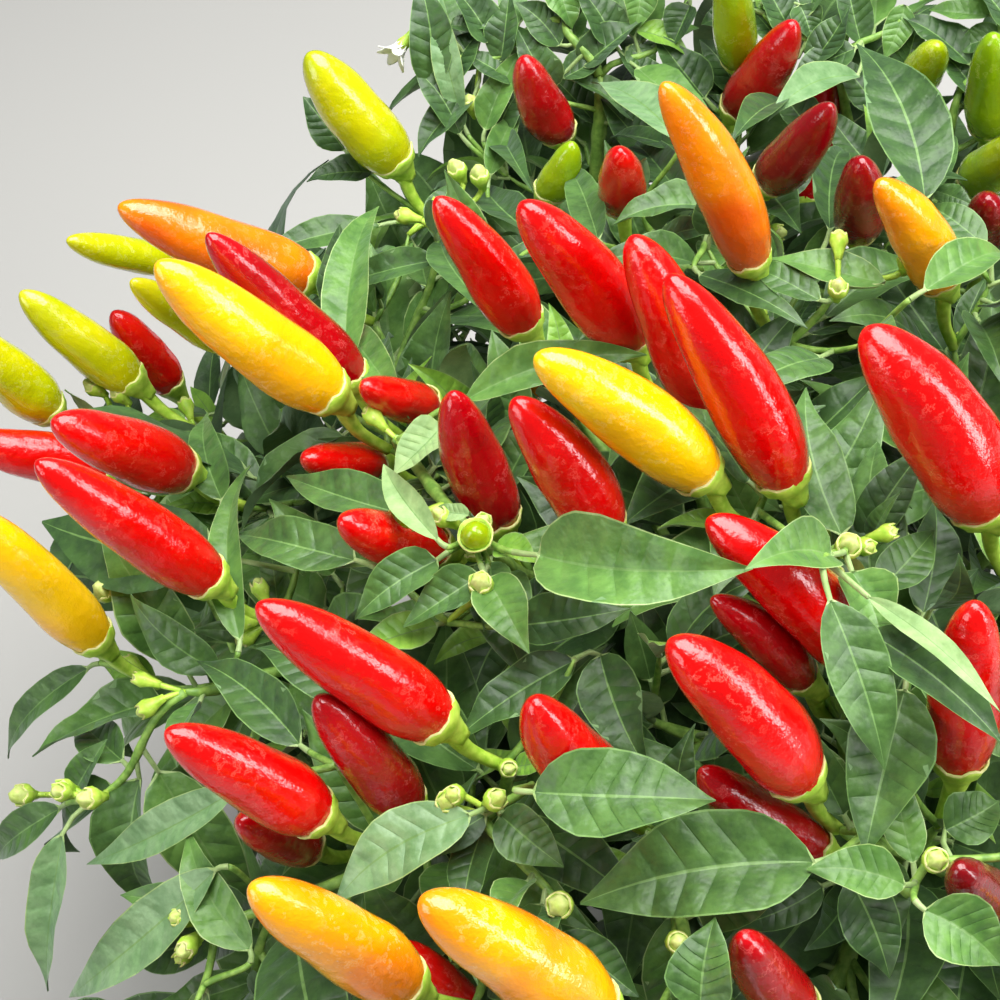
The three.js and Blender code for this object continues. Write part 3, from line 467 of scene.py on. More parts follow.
for i in range(SPIRAL.count):
    roll = dice(FIRST_SEED.spiral + i)
    height = 1 - ((i + 0.5) / SPIRAL.count) * (1 - SPIRAL.lowest)
    ring = math.sqrt(1 - height * height)
    around = i * GOLDEN_ANGLE + roll(-SPIRAL.loose, SPIRAL.loose)
    out = SPIRAL.reach + roll(-SPIRAL.spread, SPIRAL.spread)
    bears = roll() < FRUIT.share * min(max(FRUIT.upper + height, FRUIT.fewest), FRUIT.most)
    long = roll(FRUIT.shortest, FRUIT.longest)
    wide = long * roll(*FRUIT.plump) * FRUIT.slim
    lean = vec(roll(*FRUIT.aside), roll(*FRUIT.aside), roll(*FRUIT.upwards))
    bow = roll(-FRUIT.bow, FRUIT.bow)
    half = vec(CROWN.across, CROWN.across, CROWN.up if height > 0 else CROWN.down)
    at = CROWN.middle + half * out * vec(ring * math.cos(around), ring * math.sin(around), height)
    crowded = any(np.linalg.norm(shoot.at - at) < SPIRAL.apart for shoot in shoots)
    if in_window(at) or crowded:
        continue
    shoot = Sizes(at=at, along=outward(at), fruit=None, placed=False)
    if bears:
        along = unit(outward(at) + lean)
        along[2] = max(along[2], FRUIT.level)
        along = unit(along)
        foot = at + along * FRUIT.stalk
        tip = foot + along * long
        fruit = fruit_between(at, foot, tip, wide, bow)
        clear = not any(too_near(fruit.rows, other.rows) for other in fruits)
        along_it = [lerp(foot, tip, run) for run in (0.2, 0.6, 1)]
        seen = any(hides_fruit(point, KEEP_CLEAR) or is_bare(point) for point in along_it)
        if clear and not seen:
            fruit.ripe = OTHER_RIPENESS[i * 7 % len(OTHER_RIPENESS)]
            fruits.append(fruit)
            shoot.fruit = fruit
    shoots.append(shoot)
print(len(fruits), "fruit,", placed_count, "of them placed by the picture, on", len(shoots), "shoots")

# %% [markdown]
# ## Twigs by the branching rule
#
# In each mass the shoots are joined one by one, nearest first, to the joint of what has grown that costs
# least: a short way, a soft turn, and not too long a run back to the stem. A twig that would touch a
# limb, a fruit or another mass's twig tries the next joint. This is how the frame's solids were grown,
# so the twigs lie in the same places.

# %% Twigs by the branching rule
JOIN = Sizes(turn=0.35, near=5, near_cost=20, tries=8, placed_tries=24, heart=0.55)
stem_rows = capsules_of(stem_path, stem_radii)
fruit_rows = np.concatenate([fruit.rows for fruit in fruits])
fruit_owner = np.concatenate([np.full(len(fruit.rows), fruit.number) for fruit in fruits])
grown_rows, grown_owner = np.zeros((0, 8)), np.zeros(0, int)


def twig_is_clear(path, mass, shoot):
    rows = capsules_of(path, TWIG.thin * TWIG.guess)
    limbs = [bough.rows[:-1] if bough is mass.bough else bough.rows for bough in boughs]
    own = shoot.fruit.number if shoot.fruit else -1
    others = [stem_rows, *limbs, grown_rows[grown_owner != mass.number], fruit_rows[fruit_owner != own]]
    return not too_near(rows, np.concatenate(others))


def join_shoot(mass, shoot):
    global grown_rows, grown_owner
    joints = mass.joints
    reach = shoot.at - np.array([joint.at for joint in joints])
    far = np.linalg.norm(reach, axis=1)
    turn = 1 - (reach * np.array([joint.along for joint in joints])).sum(1) / np.maximum(far, 1e-6)
    run = np.array([joint.run for joint in joints])
    cost = far * (1 + JOIN.turn * turn) + TWIG.lazy * run + np.where(far < JOIN.near, JOIN.near_cost, 0)
    if len(joints) > 1:
        cost[0] = math.inf
    tries = JOIN.placed_tries if shoot.placed else JOIN.tries
    for i in np.argsort(cost, kind="stable")[:tries]:
        joint = joints[i]
        direct = unit(shoot.at - joint.at)
        leave = joint.along if i == 0 else unit(joint.along + direct)
        controls = bent(joint.at, leave, shoot.at, unit(shoot.along + direct))
        steps = max(1, math.floor(far[i] / TWIG.step + 0.5))
        path = bezier(controls, np.linspace(0, 1, steps + 1))
        if not twig_is_clear(path[1:] if i == 0 else path, mass, shoot):
            continue
        parent, first = int(i), len(joints)
        for k in range(1, len(path)):
            step = path[k] - path[k - 1]
            run = joints[parent].run + np.linalg.norm(step)
            joints.append(Sizes(at=path[k], along=unit(step), run=run, parent=parent, load=0))
            parent = len(joints) - 1
        rows = capsules_of(path, TWIG.thin * TWIG.guess)
        grown_rows = np.concatenate([grown_rows, rows])
        grown_owner = np.concatenate([grown_owner, np.full(len(rows), mass.number)])
        up = parent
        while up is not None:
            joints[up].load += 1
            up = joints[up].parent
        mass.twigs.append(Sizes(start=int(i), first=first, last=parent, controls=controls,
                                steps=steps, shoot=shoot, mass=mass))
        return True
    return False


for mass in masses:
    start = mass.bough.path[-1] + mass.bough.arrive * GAP
    mass.joints = [Sizes(at=start, along=mass.bough.arrive, run=0, parent=None, load=0)]
    mass.twigs = []
    own = [shoot for shoot in shoots if mass_at(shoot.at) is mass]
    heart = lerp(start, mass.middle, JOIN.heart)
    join_shoot(mass, Sizes(at=heart, along=unit(mass.middle - start), fruit=None, placed=True))
    own.sort(key=lambda shoot: np.linalg.norm(shoot.at - start))
    mass.shoots = [shoot for shoot in own if join_shoot(mass, shoot)]

joined = {id(shoot) for mass in masses for shoot in mass.shoots}
for shoot in [shoot for shoot in shoots if shoot.placed and id(shoot) not in joined]:
    nearest = sorted(masses, key=lambda mass: np.linalg.norm(mass.middle - shoot.at))
    taker = next((mass for mass in nearest[1:4] if join_shoot(mass, shoot)), None)
    if taker:
        taker.shoots.append(shoot)

twigs = [twig for mass in masses for twig in mass.twigs]
fruits = [twig.shoot.fruit for twig in twigs if twig.shoot.fruit]
print(len(twigs), "twigs, with", len(fruits), "fruit on them")

# %% [markdown]
# ## Fine shapes of the twigs
#
# A young pepper stem is green and angular, and swells where a leaf or a side twig leaves it. The path is
# read off the same curve in finer steps, and the radius follows how many shoots lie beyond each joint:
# the stem of a mass is thick where it enters, and each twig thins towards its tip.

# %% Fine shapes of the twigs
FINE_STEPS = 5
NODE_SWELL = Sizes(share=0.22, long=2.4)


def run_along(path):
    """How far along a path each of its points lies"""
    return np.concatenate([[0], np.cumsum(np.linalg.norm(np.diff(path, axis=0), axis=1))])


def twig_radius(load):
    return min(TWIG.thin * load**TWIG.share, TWIG.thick)


for twig in twigs:
    joints = twig.mass.joints[twig.first:twig.last + 1]
    radii = [twig_radius(joint.load) for joint in [joints[0], *joints]]
    if twig.start == 0:
        radii[0] = twig.mass.bough.tip
    t = np.linspace(0, 1, twig.steps * FINE_STEPS + 1)
    twig.path = bezier(twig.controls, t)
    twig.radii = np.interp(t * twig.steps, np.arange(twig.steps + 1), radii)
    run = run_along(twig.path)
    nodes = run[::FINE_STEPS]
    near = np.abs(run[:, None] - nodes[None, :]).min(1)
    twig.radii = twig.radii * (1 + NODE_SWELL.share * np.exp(-((near / NODE_SWELL.long) ** 2)))
print("the longest twig is", round(max(len(twig.path) for twig in twigs) / FINE_STEPS * TWIG.step), "mm")

# %% [markdown]
# ## Room and sight
#
# Leaves don't grow through fruit, twigs or each other. A grid of small cells remembers what space is
# taken, and a new leaf is only kept where its cells are free. A second, flat grid remembers how deep the
# placed fruit and leaves lie behind each part of the picture, so that nothing grown later hides them.

# %% Room and sight
CELL = 3.4
PATCH = Sizes(pixels=8, first=-104, count=152)
room_low = BOX_LOW - 30
room = np.zeros(np.ceil((BOX_HIGH - BOX_LOW + 60) / CELL).astype(int), bool)
depths = np.full((PATCH.count, PATCH.count), math.inf)


def cells(points):
    at = ((points.reshape(-1, 3) - room_low) / CELL).astype(int)
    return tuple(np.clip(at, 0, np.array(room.shape) - 1).T)


def fill_room(points):
    room[cells(points)] = True


def patches(points):
    x, y, depth = in_frame(points.reshape(-1, 3))
    column, row = (((value - PATCH.first) // PATCH.pixels).astype(int) for value in (x, y))
    inside = (column > 0) & (row > 0) & (column < PATCH.count - 1) & (row < PATCH.count - 1)
    return column[inside], row[inside], depth[inside]


def keep_in_sight(points):
    column, row, depth = patches(points)
    for aside in (-1, 0, 1):
        for over in (-1, 0, 1):
            np.minimum.at(depths, (column + aside, row + over), depth)


def hides_placed(points, slack=3):
    """How many of the points stand before something that the picture shows"""
    column, row, depth = patches(points)
    behind = depths[column, row]
    return int((np.isfinite(behind) & (depth < behind - slack)).sum())


for twig in twigs:
    if twig.shoot.placed and in_window(twig.path[-1]):
        keep_in_sight(twig.path)
    halfway = (twig.path[1:] + twig.path[:-1]) / 2
    fill_room(np.concatenate([twig.path[2:], halfway[2:]]))
for bough in boughs:
    fill_room(bezier(bough.controls, np.linspace(0, 1, 40)))
fill_room(stem_at(np.linspace(0, 1, 40))[0])

# %% [markdown]
# ## A mesh from rings
#
# Every part of this plant is long and round, so one method serves them all: rows of points round a
# middle line, joined to a closed skin. A sheaf gathers many such skins and makes one mesh of them, which
# is far quicker for Blender than thousands of separate objects. Each strip of faces can have a finish of
# its own, which is how a leaf gets its pale midrib and the pale margin that paints a rim highlight.

# %% A mesh from rings
class Sheaf:
    """Many small closed skins gathered for one mesh"""

    def __init__(self):
        self.points, self.quads, self.fans, self.count = [], [], [], 0
        self.quad_finish, self.fan_finish = [], []

    def add(self, rings, finish):
        """rings is rows x points x 3. finish is one number, or one for each strip, or for each face."""
        rows, sides, _ = rings.shape
        grid = np.arange(rows * sides).reshape(rows, sides)
        turned = np.roll(grid, -1, axis=1)
        quads = np.stack([grid[:-1], turned[:-1], turned[1:], grid[1:]], axis=-1).reshape(-1, 4)
        ends = rows * sides + np.arange(2)
        first = np.stack([turned[0], grid[0], np.full(sides, ends[0])], axis=-1)
        last = np.stack([grid[-1], turned[-1], np.full(sides, ends[1])], axis=-1)
        finish = np.broadcast_to(finish, (rows - 1, sides))
        self.points += [rings.reshape(-1, 3), rings[[0, -1]].mean(axis=1)]
        self.quads.append(quads + self.count)
        self.fans.append(np.concatenate([first, last]) + self.count)
        self.quad_finish.append(finish.ravel())
        self.fan_finish.append(np.concatenate([finish[0], finish[-1]]))
        self.count += rows * sides + 2

    def triangles(self):
        return sum(2 * len(quads) for quads in self.quads) + sum(len(fans) for fans in self.fans)

    def piece(self, name, materials, sharp=None):
        quads, fans = np.concatenate(self.quads), np.concatenate(self.fans)
        mesh = bpy.data.meshes.new(name)
        mesh.vertices.add(self.count)
        mesh.vertices.foreach_set("co", (np.concatenate(self.points) * MM).astype(np.float32).ravel())
        mesh.loops.add(quads.size + fans.size)
        mesh.loops.foreach_set("vertex_index", np.concatenate([quads.ravel(), fans.ravel()]))
        mesh.polygons.add(len(quads) + len(fans))
        starts = np.concatenate([np.arange(len(quads)) * 4, quads.size + np.arange(len(fans)) * 3])
        mesh.polygons.foreach_set("loop_start", starts)
        finish = np.concatenate(self.quad_finish + self.fan_finish)
        mesh.polygons.foreach_set("material_index", finish.astype(np.int32))
        mesh.polygons.foreach_set("use_smooth", np.ones(len(starts), bool))
        for material in materials:
            mesh.materials.append(material)
        mesh.update(calc_edges=True)
        mesh.validate()
        if sharp:
            mesh.set_sharp_from_angle(angle=math.radians(sharp))
        made = bpy.data.objects.new(name, mesh)
        bpy.context.scene.collection.objects.link(made)
        print(name, "has", self.triangles(), "triangles")
        return made


def frames_along(path):
    """For each point of a path: its way, and two ways square to it that turn as little as they can"""
    ways = unit(np.gradient(path, axis=0))
    side = np.zeros_like(ways)
    guide = vec(1, 0, 0) if abs(ways[0][2]) > 0.8 else UP
    for i, way in enumerate(ways):
        guide = unit(guide - way * (guide @ way))
        side[i] = guide
    return ways, side, np.cross(ways, side)


def angles_round(sides):
    return np.arange(sides) * 2 * math.pi / sides


def tube(path, radii, sides, ridges=0, depth=0.0):
    """Rings of a round or ridged tube"""
    _, side, over = frames_along(path)
    angle = angles_round(sides)
    radius = np.asarray(radii)[:, None] * (1 + depth * np.cos(ridges * angle))[None, :]
    across = side[:, None, :] * np.cos(angle)[None, :, None] + over[:, None, :] * np.sin(angle)[None, :, None]
    return path[:, None, :] + across * radius[..., None]


# %% [markdown]
# ## Finishes
#
# A finish is a Principled shader fed by noise whose scale comes from a real size. One helper turns the
# usual sRGB hex colours to linear ones, and one adds a node with its settings and links. With those, the
# four things that every finish here is made of take a line each: noise, colours dealt out by it, bumps
# in the skin, and the shader itself.

# %% Finishes: helpers
def linear(colour):
    """An sRGB hex colour as linear red, green, blue and alpha"""
    parts = [int(colour[i:i + 2], 16) / 255 for i in (1, 3, 5)]
    return tuple(p / 12.92 if p <= 0.04045 else ((p + 0.055) / 1.055) ** 2.4 for p in parts) + (1.0,)


def add_node(material, kind, inputs=None, stops=(), **settings):
    """Adds a node with its settings. An input is a value or the socket that feeds it."""
    tree = material.node_tree
    node = tree.nodes.new(kind)
    for name, value in settings.items():
        setattr(node, name, value)
    for name, value in (inputs or {}).items():
        if isinstance(value, bpy.types.NodeSocket):
            tree.links.new(value, node.inputs[name])
        else:
            node.inputs[name].default_value = value
    for i, (place, colour) in enumerate(stops):
        elements = node.color_ramp.elements
        element = elements[i] if i < len(elements) else elements.new(place)
        element.position, element.color = place, colour
    return node


def per_metre(millimetres):
    """Texture scale for a pattern that repeats about every so many millimetres"""
    return 1 / (millimetres * MM)


BLACK, WHITE = (0, 0, 0, 1), (1, 1, 1, 1)


def new_finish(name):
    material = bpy.data.materials.new(name)
    material.use_nodes = True
    material.node_tree.nodes.clear()
    return material


def place_on(material):
    """The place on the piece, by which a pattern is laid out"""
    return add_node(material, "ShaderNodeTexCoord").outputs["Object"]


def add_noise(material, place, millimetres, detail=2.0, roughness=0.5):
    """Cloudy noise that repeats about every so many millimetres"""
    return add_node(material, "ShaderNodeTexNoise", {
        "Vector": place, "Scale": per_metre(millimetres), "Detail": detail,
        "Roughness": roughness}).outputs["Fac"]


def add_colours(material, share, stops):
    return add_node(material, "ShaderNodeValToRGB", {"Fac": share}, stops=stops).outputs["Color"]


def add_bumps(material, height, strength, millimetres, **under):
    return add_node(material, "ShaderNodeBump", {
        "Height": height, "Strength": strength, "Distance": millimetres * MM, **under}).outputs["Normal"]


def add_skin(material, inputs):
    shader = add_node(material, "ShaderNodeBsdfPrincipled", inputs)
    add_node(material, "ShaderNodeOutputMaterial", {"Surface": shader.outputs["BSDF"]})
    return material


# %% [markdown]
# ## Leaf finishes
#
# A pepper leaf has a thin wax layer: not glossy, but it sends back a soft pale sheen under an open sky.
# The upper side is a deep green with slightly lighter blotches between the veins, the underside is paler
# and duller, and the veins and the stalk are a pale yellow green; on the margin that pale green is a
# painted rim highlight. Young leaves are a yellower green of their own. The other tones, dealt out by
# spray, are painted light and shade: shade is a darker copy for leaves in shadow, light a lighter copy
# for lit leaves, and pale a greyer copy with a painted sheen of the sky for leaves that face up.

# %% Leaf finishes
def leaf_finish(name, deep, bright, roughness):
    """Waxed leaf skin: soft blotches, bulges of 5 mm between the small veins, and a bluish bloom"""
    material = new_finish(name)
    place = place_on(material)
    blotches = add_noise(material, place, 7, detail=5.0, roughness=0.65)
    grain = add_bumps(material, add_noise(material, place, 1.3), 0.35, 0.25)
    bulges = add_bumps(material, add_noise(material, place, 5, roughness=0.6), 0.5, 1.2, Normal=grain)
    return add_skin(material, {
        "Base Color": add_colours(material, blotches, [(0.38, linear(deep)), (0.62, linear(bright))]),
        "Roughness": roughness, "IOR": 1.45, "Normal": bulges, "Sheen Weight": 0.12,
        "Sheen Roughness": 0.5, "Sheen Tint": linear("#dbe9f2")})


LEAF_TONES = {
    # shade, green and light are one leaf skin in darker and lighter copies: painted shade and painted light
    "shade": leaf_finish("waxed_leaf_shade", "#27431c", "#395a24", 0.45),
    "green": leaf_finish("waxed_leaf_green", "#325220", "#4a6e2f", 0.44),
    "light": leaf_finish("waxed_leaf_light", "#436a29", "#5c8438", 0.43),
    # pale is a greyer copy with a painted sheen of the sky, for leaves that face up
    "pale": leaf_finish("waxed_leaf_painted_sky_sheen", "#587c4a", "#759565", 0.42),
    "young": leaf_finish("waxed_leaf_young", "#5f8c2a", "#7ea83a", 0.42),
    "under": leaf_finish("leaf_underside", "#5a7c4c", "#708f5c", 0.6),
    # under_pale is the paler underside of young leaves, and for leaves in the light tone a painted-light copy
    "under_pale": leaf_finish("leaf_underside_pale", "#708f54", "#8ca86b", 0.6),
    "midrib": leaf_finish("leaf_midrib", "#56783a", "#698b4b", 0.45),
    # the stalk's own pale green, also laid on the leaf margin as a painted rim highlight
    "vein": leaf_finish("leaf_stalk_and_painted_rim", "#7d9854", "#96ad70", 0.5),
}
LEAF_NUMBER = {tone: i for i, tone in enumerate(LEAF_TONES)}
print(len(LEAF_TONES), "leaf finishes")

# %% [markdown]
# ## Fruit finishes
#
# The skin of a ripe pepper is smooth and glossy over slightly uneven flesh. Ripening runs from lime
# green through yellow and orange to red, often with two of these on one fruit, so each finish blends
# two colours over about 25 mm. The darkest finish is no stage of ripeness but crimson with painted
# shade, for fruit that lie deep in the crown. Water that dried on the skin left small faint blots with a
# rim. They come from one noise read at two heights, and a coarser noise keeps them to some parts of the
# skin. A clear coat over the skin gives the sharp bright streak that a wet or waxed pepper has.

# %% Fruit finishes
def fruit_finish(name, body, flush, mark, marks=0.5):
    """Pepper skin: waxed gloss over low bumps 11 mm apart, with small pale water marks"""
    material = new_finish(name)
    place = place_on(material)
    ripening = add_noise(material, place, 24, detail=1.0)
    skin = add_colours(material, ripening, [(0.36, linear(body)), (0.64, linear(flush))])
    blots = add_noise(material, place, 2.6, detail=4.0, roughness=0.6)
    rims = add_colours(material, blots, [(0.54, BLACK), (0.60, WHITE), (0.64, BLACK), (0.72, WHITE)])
    patch = add_node(material, "ShaderNodeMapRange", {
        "Value": add_noise(material, place, 13), "From Min": 0.42, "From Max": 0.66, "To Max": marks})
    share = add_node(material, "ShaderNodeMath", {0: rims, 1: patch.outputs["Result"]},
                     operation="MULTIPLY").outputs[0]
    colour = add_node(material, "ShaderNodeMix", {0: share, 6: skin, 7: linear(mark)}, data_type="RGBA")
    dull = add_node(material, "ShaderNodeMapRange", {"Value": share, "To Min": 0.2, "To Max": 0.6})
    bumps = add_bumps(material, add_noise(material, place, 11, detail=5.0, roughness=0.62), 0.6, 1.5)
    return add_skin(material, {
        "Base Color": colour.outputs[2], "Roughness": dull.outputs["Result"], "IOR": 1.5,
        "Specular IOR Level": 0.25, "Coat Weight": 0.8, "Coat Roughness": 0.17, "Normal": bumps,
        "Coat Normal": bumps})


FRUIT_TONES = {
    "lemon": fruit_finish("pepper_skin_lemon", "#a6b004", "#c6c004", "#e6e58c", 0.3),
    "lime": fruit_finish("pepper_skin_lime", "#7ca205", "#98ac05", "#dfe27e", 0.3),
    "yellow": fruit_finish("pepper_skin_yellow", "#f3c204", "#f2ae04", "#fdeaa0", 0.3),
    "amber": fruit_finish("pepper_skin_amber", "#f7a803", "#f08403", "#fde3a4", 0.3),
    "orange": fruit_finish("pepper_skin_orange", "#d65604", "#e88b08", "#f0b07c", 0.3),
    "red": fruit_finish("pepper_skin_red", "#d40301", "#c40202", "#ec705f", 0.35),
    "crimson": fruit_finish("pepper_skin_crimson", "#b4020c", "#9a0109", "#e8706c", 0.35),
    # crimson skin in a darker copy: painted shade for fruit that lie deep in the crown
    "painted_shade_crimson": fruit_finish("pepper_skin_painted_shade_crimson", "#84030c", "#6c0208", "#d0605e", 0.3),
}
FRUIT_NUMBER = {tone: i for i, tone in enumerate(FRUIT_TONES)}
print(len(FRUIT_TONES), "fruit finishes")

# %% [markdown]
# ## Stem finishes
#
# Young stems, stalks and calyxes are a fresh pale green with a satin skin. The main stem turns dull and
# grows fine lines of cork, olive and tan, along its length.

# %% Stem finishes
def stem_finish(name, deep, bright, roughness, streak=1.0):
    """Green stem skin: satin, with streaks 2.5 mm apart that run up the stem where streak is under 1"""
    material = new_finish(name)
    place = place_on(material)
    stretched = add_node(material, "ShaderNodeMapping", {"Vector": place, "Scale": (1, 1, streak)})
    streaks = add_noise(material, stretched.outputs["Vector"], 2.5, detail=3.0)
    return add_skin(material, {
        "Base Color": add_colours(material, streaks, [(0.36, linear(deep)), (0.64, linear(bright))]),
        "Roughness": roughness, "IOR": 1.45, "Normal": add_bumps(material, streaks, 0.4, 0.3)})


corky_stem = stem_finish("corky_stem", "#6e6b41", "#9a9468", 0.75, streak=0.15)
green_bough = stem_finish("green_bough", "#6c8a3c", "#93ad5e", 0.55, streak=0.3)
green_twig = stem_finish("green_twig", "#628a36", "#8bb050", 0.48)
fruit_stalk = stem_finish("fruit_stalk", "#93bd34", "#b7d652", 0.42)
calyx_edge = stem_finish("calyx_edge", "#b9bf6a", "#d0cf8e", 0.6)
bud_skin = stem_finish("bud_skin", "#a5ba52", "#c9d683", 0.62)
petal_skin = stem_finish("white_petal", "#dfe3d8", "#f2f3ec", 0.6)

# %% [markdown]
# ## Fruit, stalk and calyx
#
# A fruit is a blunt cone with a round shoulder, never quite straight or round. Its stalk is ridged and
# thickens towards the fruit, where it opens into a small green cup, the calyx, with five or six teeth
# and a pale edge that hugs the shoulder. The three are made from rings round one bent middle line.
# A few fruit, told by their number in the list above, are slimmer than the frame's coarse ones, because
# the picture shows them so.

# %% Fruit, stalk and calyx
FRUIT_GRID = Sizes(rows=28, sides=22, inside=(0.35, 0.7))
FRUIT_SHAPE = Sizes(full=1.03, foot=0.4, foot_long=0.3, shoulder=2.3, tip=0.53, blunt=(2.6, 3.6),
                    three=0.022, two=0.02, dents=0.03, side_dents=0.022)
STALK = Sizes(rows=9, sides=10, ridges=5, depth=0.09, root=1.6, end=2.4, thicken=1.6, straight=0.8,
              before=3, inside=1.5)
CUP = Sizes(share=1.05, skin=0.35, begins=-1.5, edge=0.5, edge_in=0.25, under=0.8, under_share=0.9)
CALYX = Sizes(sides=25, rows=8, stalk=STALK.end, cone=7.5, curve=1.25, lip=0.45, hug=2.2, tooth=1.3, rib=0.09)
SLIMMER = {2: 0.8, 5: 0.85, 6: 0.87, 11: 0.94, 12: 0.9, 20: 0.93, 26: 0.77, 27: 0.9, 45: 0.83}
fruit_sheaf, stalk_sheaf = Sheaf(), Sheaf()


def fruit_radius(t, blunt):
    """Share of the half width at a share t of the length: a round shoulder, a slow taper, a blunt tip"""
    form = FRUIT_SHAPE
    shoulder = form.full - form.foot * (1 - np.clip(t / form.foot_long, 0, 1)) ** form.shoulder
    return shoulder * (1 - np.clip(t, 0, 1) ** blunt) ** form.tip


def fruit_middle(fruit, t):
    lift = fruit.bow * fruit.long * 4 * t * (1 - t)
    return fruit.foot + fruit.along * (t * fruit.long)[:, None] + fruit.lift * lift[:, None]


def ways_round(fruit, angle):
    """The ways square to a fruit's length, one for each angle round it"""
    side = np.cross(fruit.along, fruit.lift)
    return fruit.lift * np.cos(angle)[:, None] + side * np.sin(angle)[:, None]


def fruit_rings(fruit, t, sides):
    middle = fruit_middle(fruit, t)
    angle = angles_round(sides)
    a, b, c = fruit.uneven
    three, two = FRUIT_SHAPE.three * np.cos(3 * angle + a), FRUIT_SHAPE.two * np.sin(2 * angle + b)
    wobble = 1 + three[None, :] + two[None, :]
    dents = FRUIT_SHAPE.dents * np.sin(9 * t + c)[:, None] * np.cos(2 * angle + a)[None, :]
    dents = dents + FRUIT_SHAPE.side_dents * np.sin(17 * t + a)[:, None] * np.cos(angle + c)[None, :]
    radius = fruit_radius(t, fruit.blunt)[:, None] * fruit.wide / 2
    radius = radius * (wobble + dents * np.sin(math.pi * t)[:, None])
    return middle[:, None, :] + ways_round(fruit, angle)[None] * radius[..., None]


def add_calyx(sheaf, fruit, form, green, pale):
    """A ribbed cone from the stalk out to a toothed pale lip, and back under it, where the fruit hides it"""
    angle = angles_round(form.sides)
    ribs = np.cos(5 * angle + fruit.uneven[0])
    half = fruit.wide / 2
    shoulder = fruit_radius(form.hug / fruit.long, fruit.blunt) * half
    lip = shoulder + form.lip
    across = ways_round(fruit, angle)
    t = np.linspace(0, 1, form.rows)
    runs = -form.cone + (form.cone + form.hug) * t
    radii = form.stalk + (lip - form.stalk) * t**form.curve
    skin = fruit_radius(np.maximum(runs, 0) / fruit.long, fruit.blunt) * half * CUP.share + CUP.skin
    radii = np.where(runs > CUP.begins, np.maximum(radii, skin), radii)
    stations = [(run, radius * (1 + form.rib * (1 - share) * ribs), share**3)
                for run, radius, share in zip(runs, radii, t)]
    stations += [(form.hug + CUP.edge, lip - CUP.edge_in, 1),
                 (form.hug - CUP.under, shoulder * CUP.under_share, 0)]
    finish = np.full((len(stations) - 1, 1), green)
    finish[form.rows - 1] = pale
    sheaf.add(np.array([
        fruit.foot + fruit.along * (run + form.tooth * tooth * np.maximum(0, ribs))[:, None]
        + across * np.broadcast_to(radius, form.sides)[:, None]
        for run, radius, tooth in stations]), finish)


def stalk_path(fruit, rows):
    """From the twig's tip, through the frame's middle point, straight into the calyx"""
    twig_tip, middle = fruit.stalk[:2]
    controls = (twig_tip, lerp(twig_tip, middle, STALK.straight), middle - fruit.along * STALK.before,
                fruit.foot - fruit.along * STALK.inside)
    return bezier(controls, np.linspace(0, 1, rows))


def close_at_ends(rows):
    """Shares of a length that lie closer together towards foot and tip, where a fruit is round"""
    return (1 - np.cos(np.linspace(0, math.pi, rows))) / 2 * 0.998


fruit_room = np.zeros_like(room)
for fruit in fruits:
    roll = dice(FIRST_SEED.fruit_skin + fruit.number)
    fruit.uneven = [roll(0, 2 * math.pi) for _ in range(3)]
    fruit.blunt = roll(*FRUIT_SHAPE.blunt)
    fruit.wide *= SLIMMER.get(fruit.number, 1)
    rings = fruit_rings(fruit, close_at_ends(FRUIT_GRID.rows), FRUIT_GRID.sides)
    fruit_sheaf.add(rings, FRUIT_NUMBER[fruit.ripe])
    fruit.skin = rings.reshape(-1, 3)
    add_calyx(stalk_sheaf, fruit, CALYX, 0, 1)
    path = stalk_path(fruit, STALK.rows)
    swell = lerp(STALK.root, STALK.end, np.linspace(0, 1, STALK.rows) ** STALK.thicken)
    stalk_sheaf.add(tube(path, swell, STALK.sides, STALK.ridges, STALK.depth), 0)
    middles = rings.mean(axis=1, keepdims=True)
    solid = np.concatenate([rings.reshape(-1, 3), *(
        lerp(rings, middles, share).reshape(-1, 3) for share in FRUIT_GRID.inside)])
    fill_room(solid)
    fruit_room[cells(solid)] = True
    fill_room(path)
    if fruit.number < placed_count:
        keep_in_sight(rings)
        keep_in_sight(path[STALK.rows // 3:])
print("fruit are", round(min(f.long for f in fruits)), "to", round(max(f.long for f in fruits)), "mm long")

# %% [markdown]
# ## The shape of a leaf
#
# A pepper leaf is an egg-shaped blade drawn out to a point, on a thin stalk. It is folded a little along
# its midrib, arches so that the tip droops, and its margin is gently wavy. The side veins curve forward
# and lie a little deeper than the skin between them. The rows of the mesh are swept forward in the same
# way. Each vein is three close rows with the middle one sunk, so it is real relief that the light finds.

# %% The shape of a leaf
BLADE = Sizes(point=1.22, sweep=0.95, vein=0.022, groove=0.35, groove_wide=0.05, ragged=0.045, skin=0.35,
              rib=0.5, rib_wide=0.12, stalk=0.72, stalk_root=1.15, stalk_end=0.9)
VEINS = np.array([0.13, 0.26, 0.39, 0.52, 0.65])
FINE = Sizes(
    stalk_rows=3, veins=VEINS,
    rows=np.sort(np.concatenate([VEINS, VEINS - 0.009, VEINS + 0.009,
                                 [0.008, 0.035, 0.08, 0.74, 0.81, 0.88, 0.94, 0.985]])),
    top=np.array([-1, -0.96, -0.7, -0.36, -0.035, 0.035, 0.36, 0.7, 0.96, 1]),
    under=np.array([0.6, 0, -0.6]),
    strips=["margin", "top", "top", "top", "midrib", "top", "top", "top", "margin",
            "under", "under", "under", "under"])
PLAIN = Sizes(
    stalk_rows=2, veins=VEINS[:0], rows=np.array([0.02, 0.08, 0.18, 0.3, 0.44, 0.58, 0.72, 0.86, 0.98]),
    top=np.array([-1, -0.5, -0.04, 0.04, 0.5, 1]),
    under=np.array([0.5, 0, -0.5]),
    strips=["top", "top", "midrib", "top", "top", "under", "under", "under", "under"])
TEST_ROWS, FILL_ROWS = np.linspace(0.16, 1, 11), np.linspace(0.05, 1, 14)
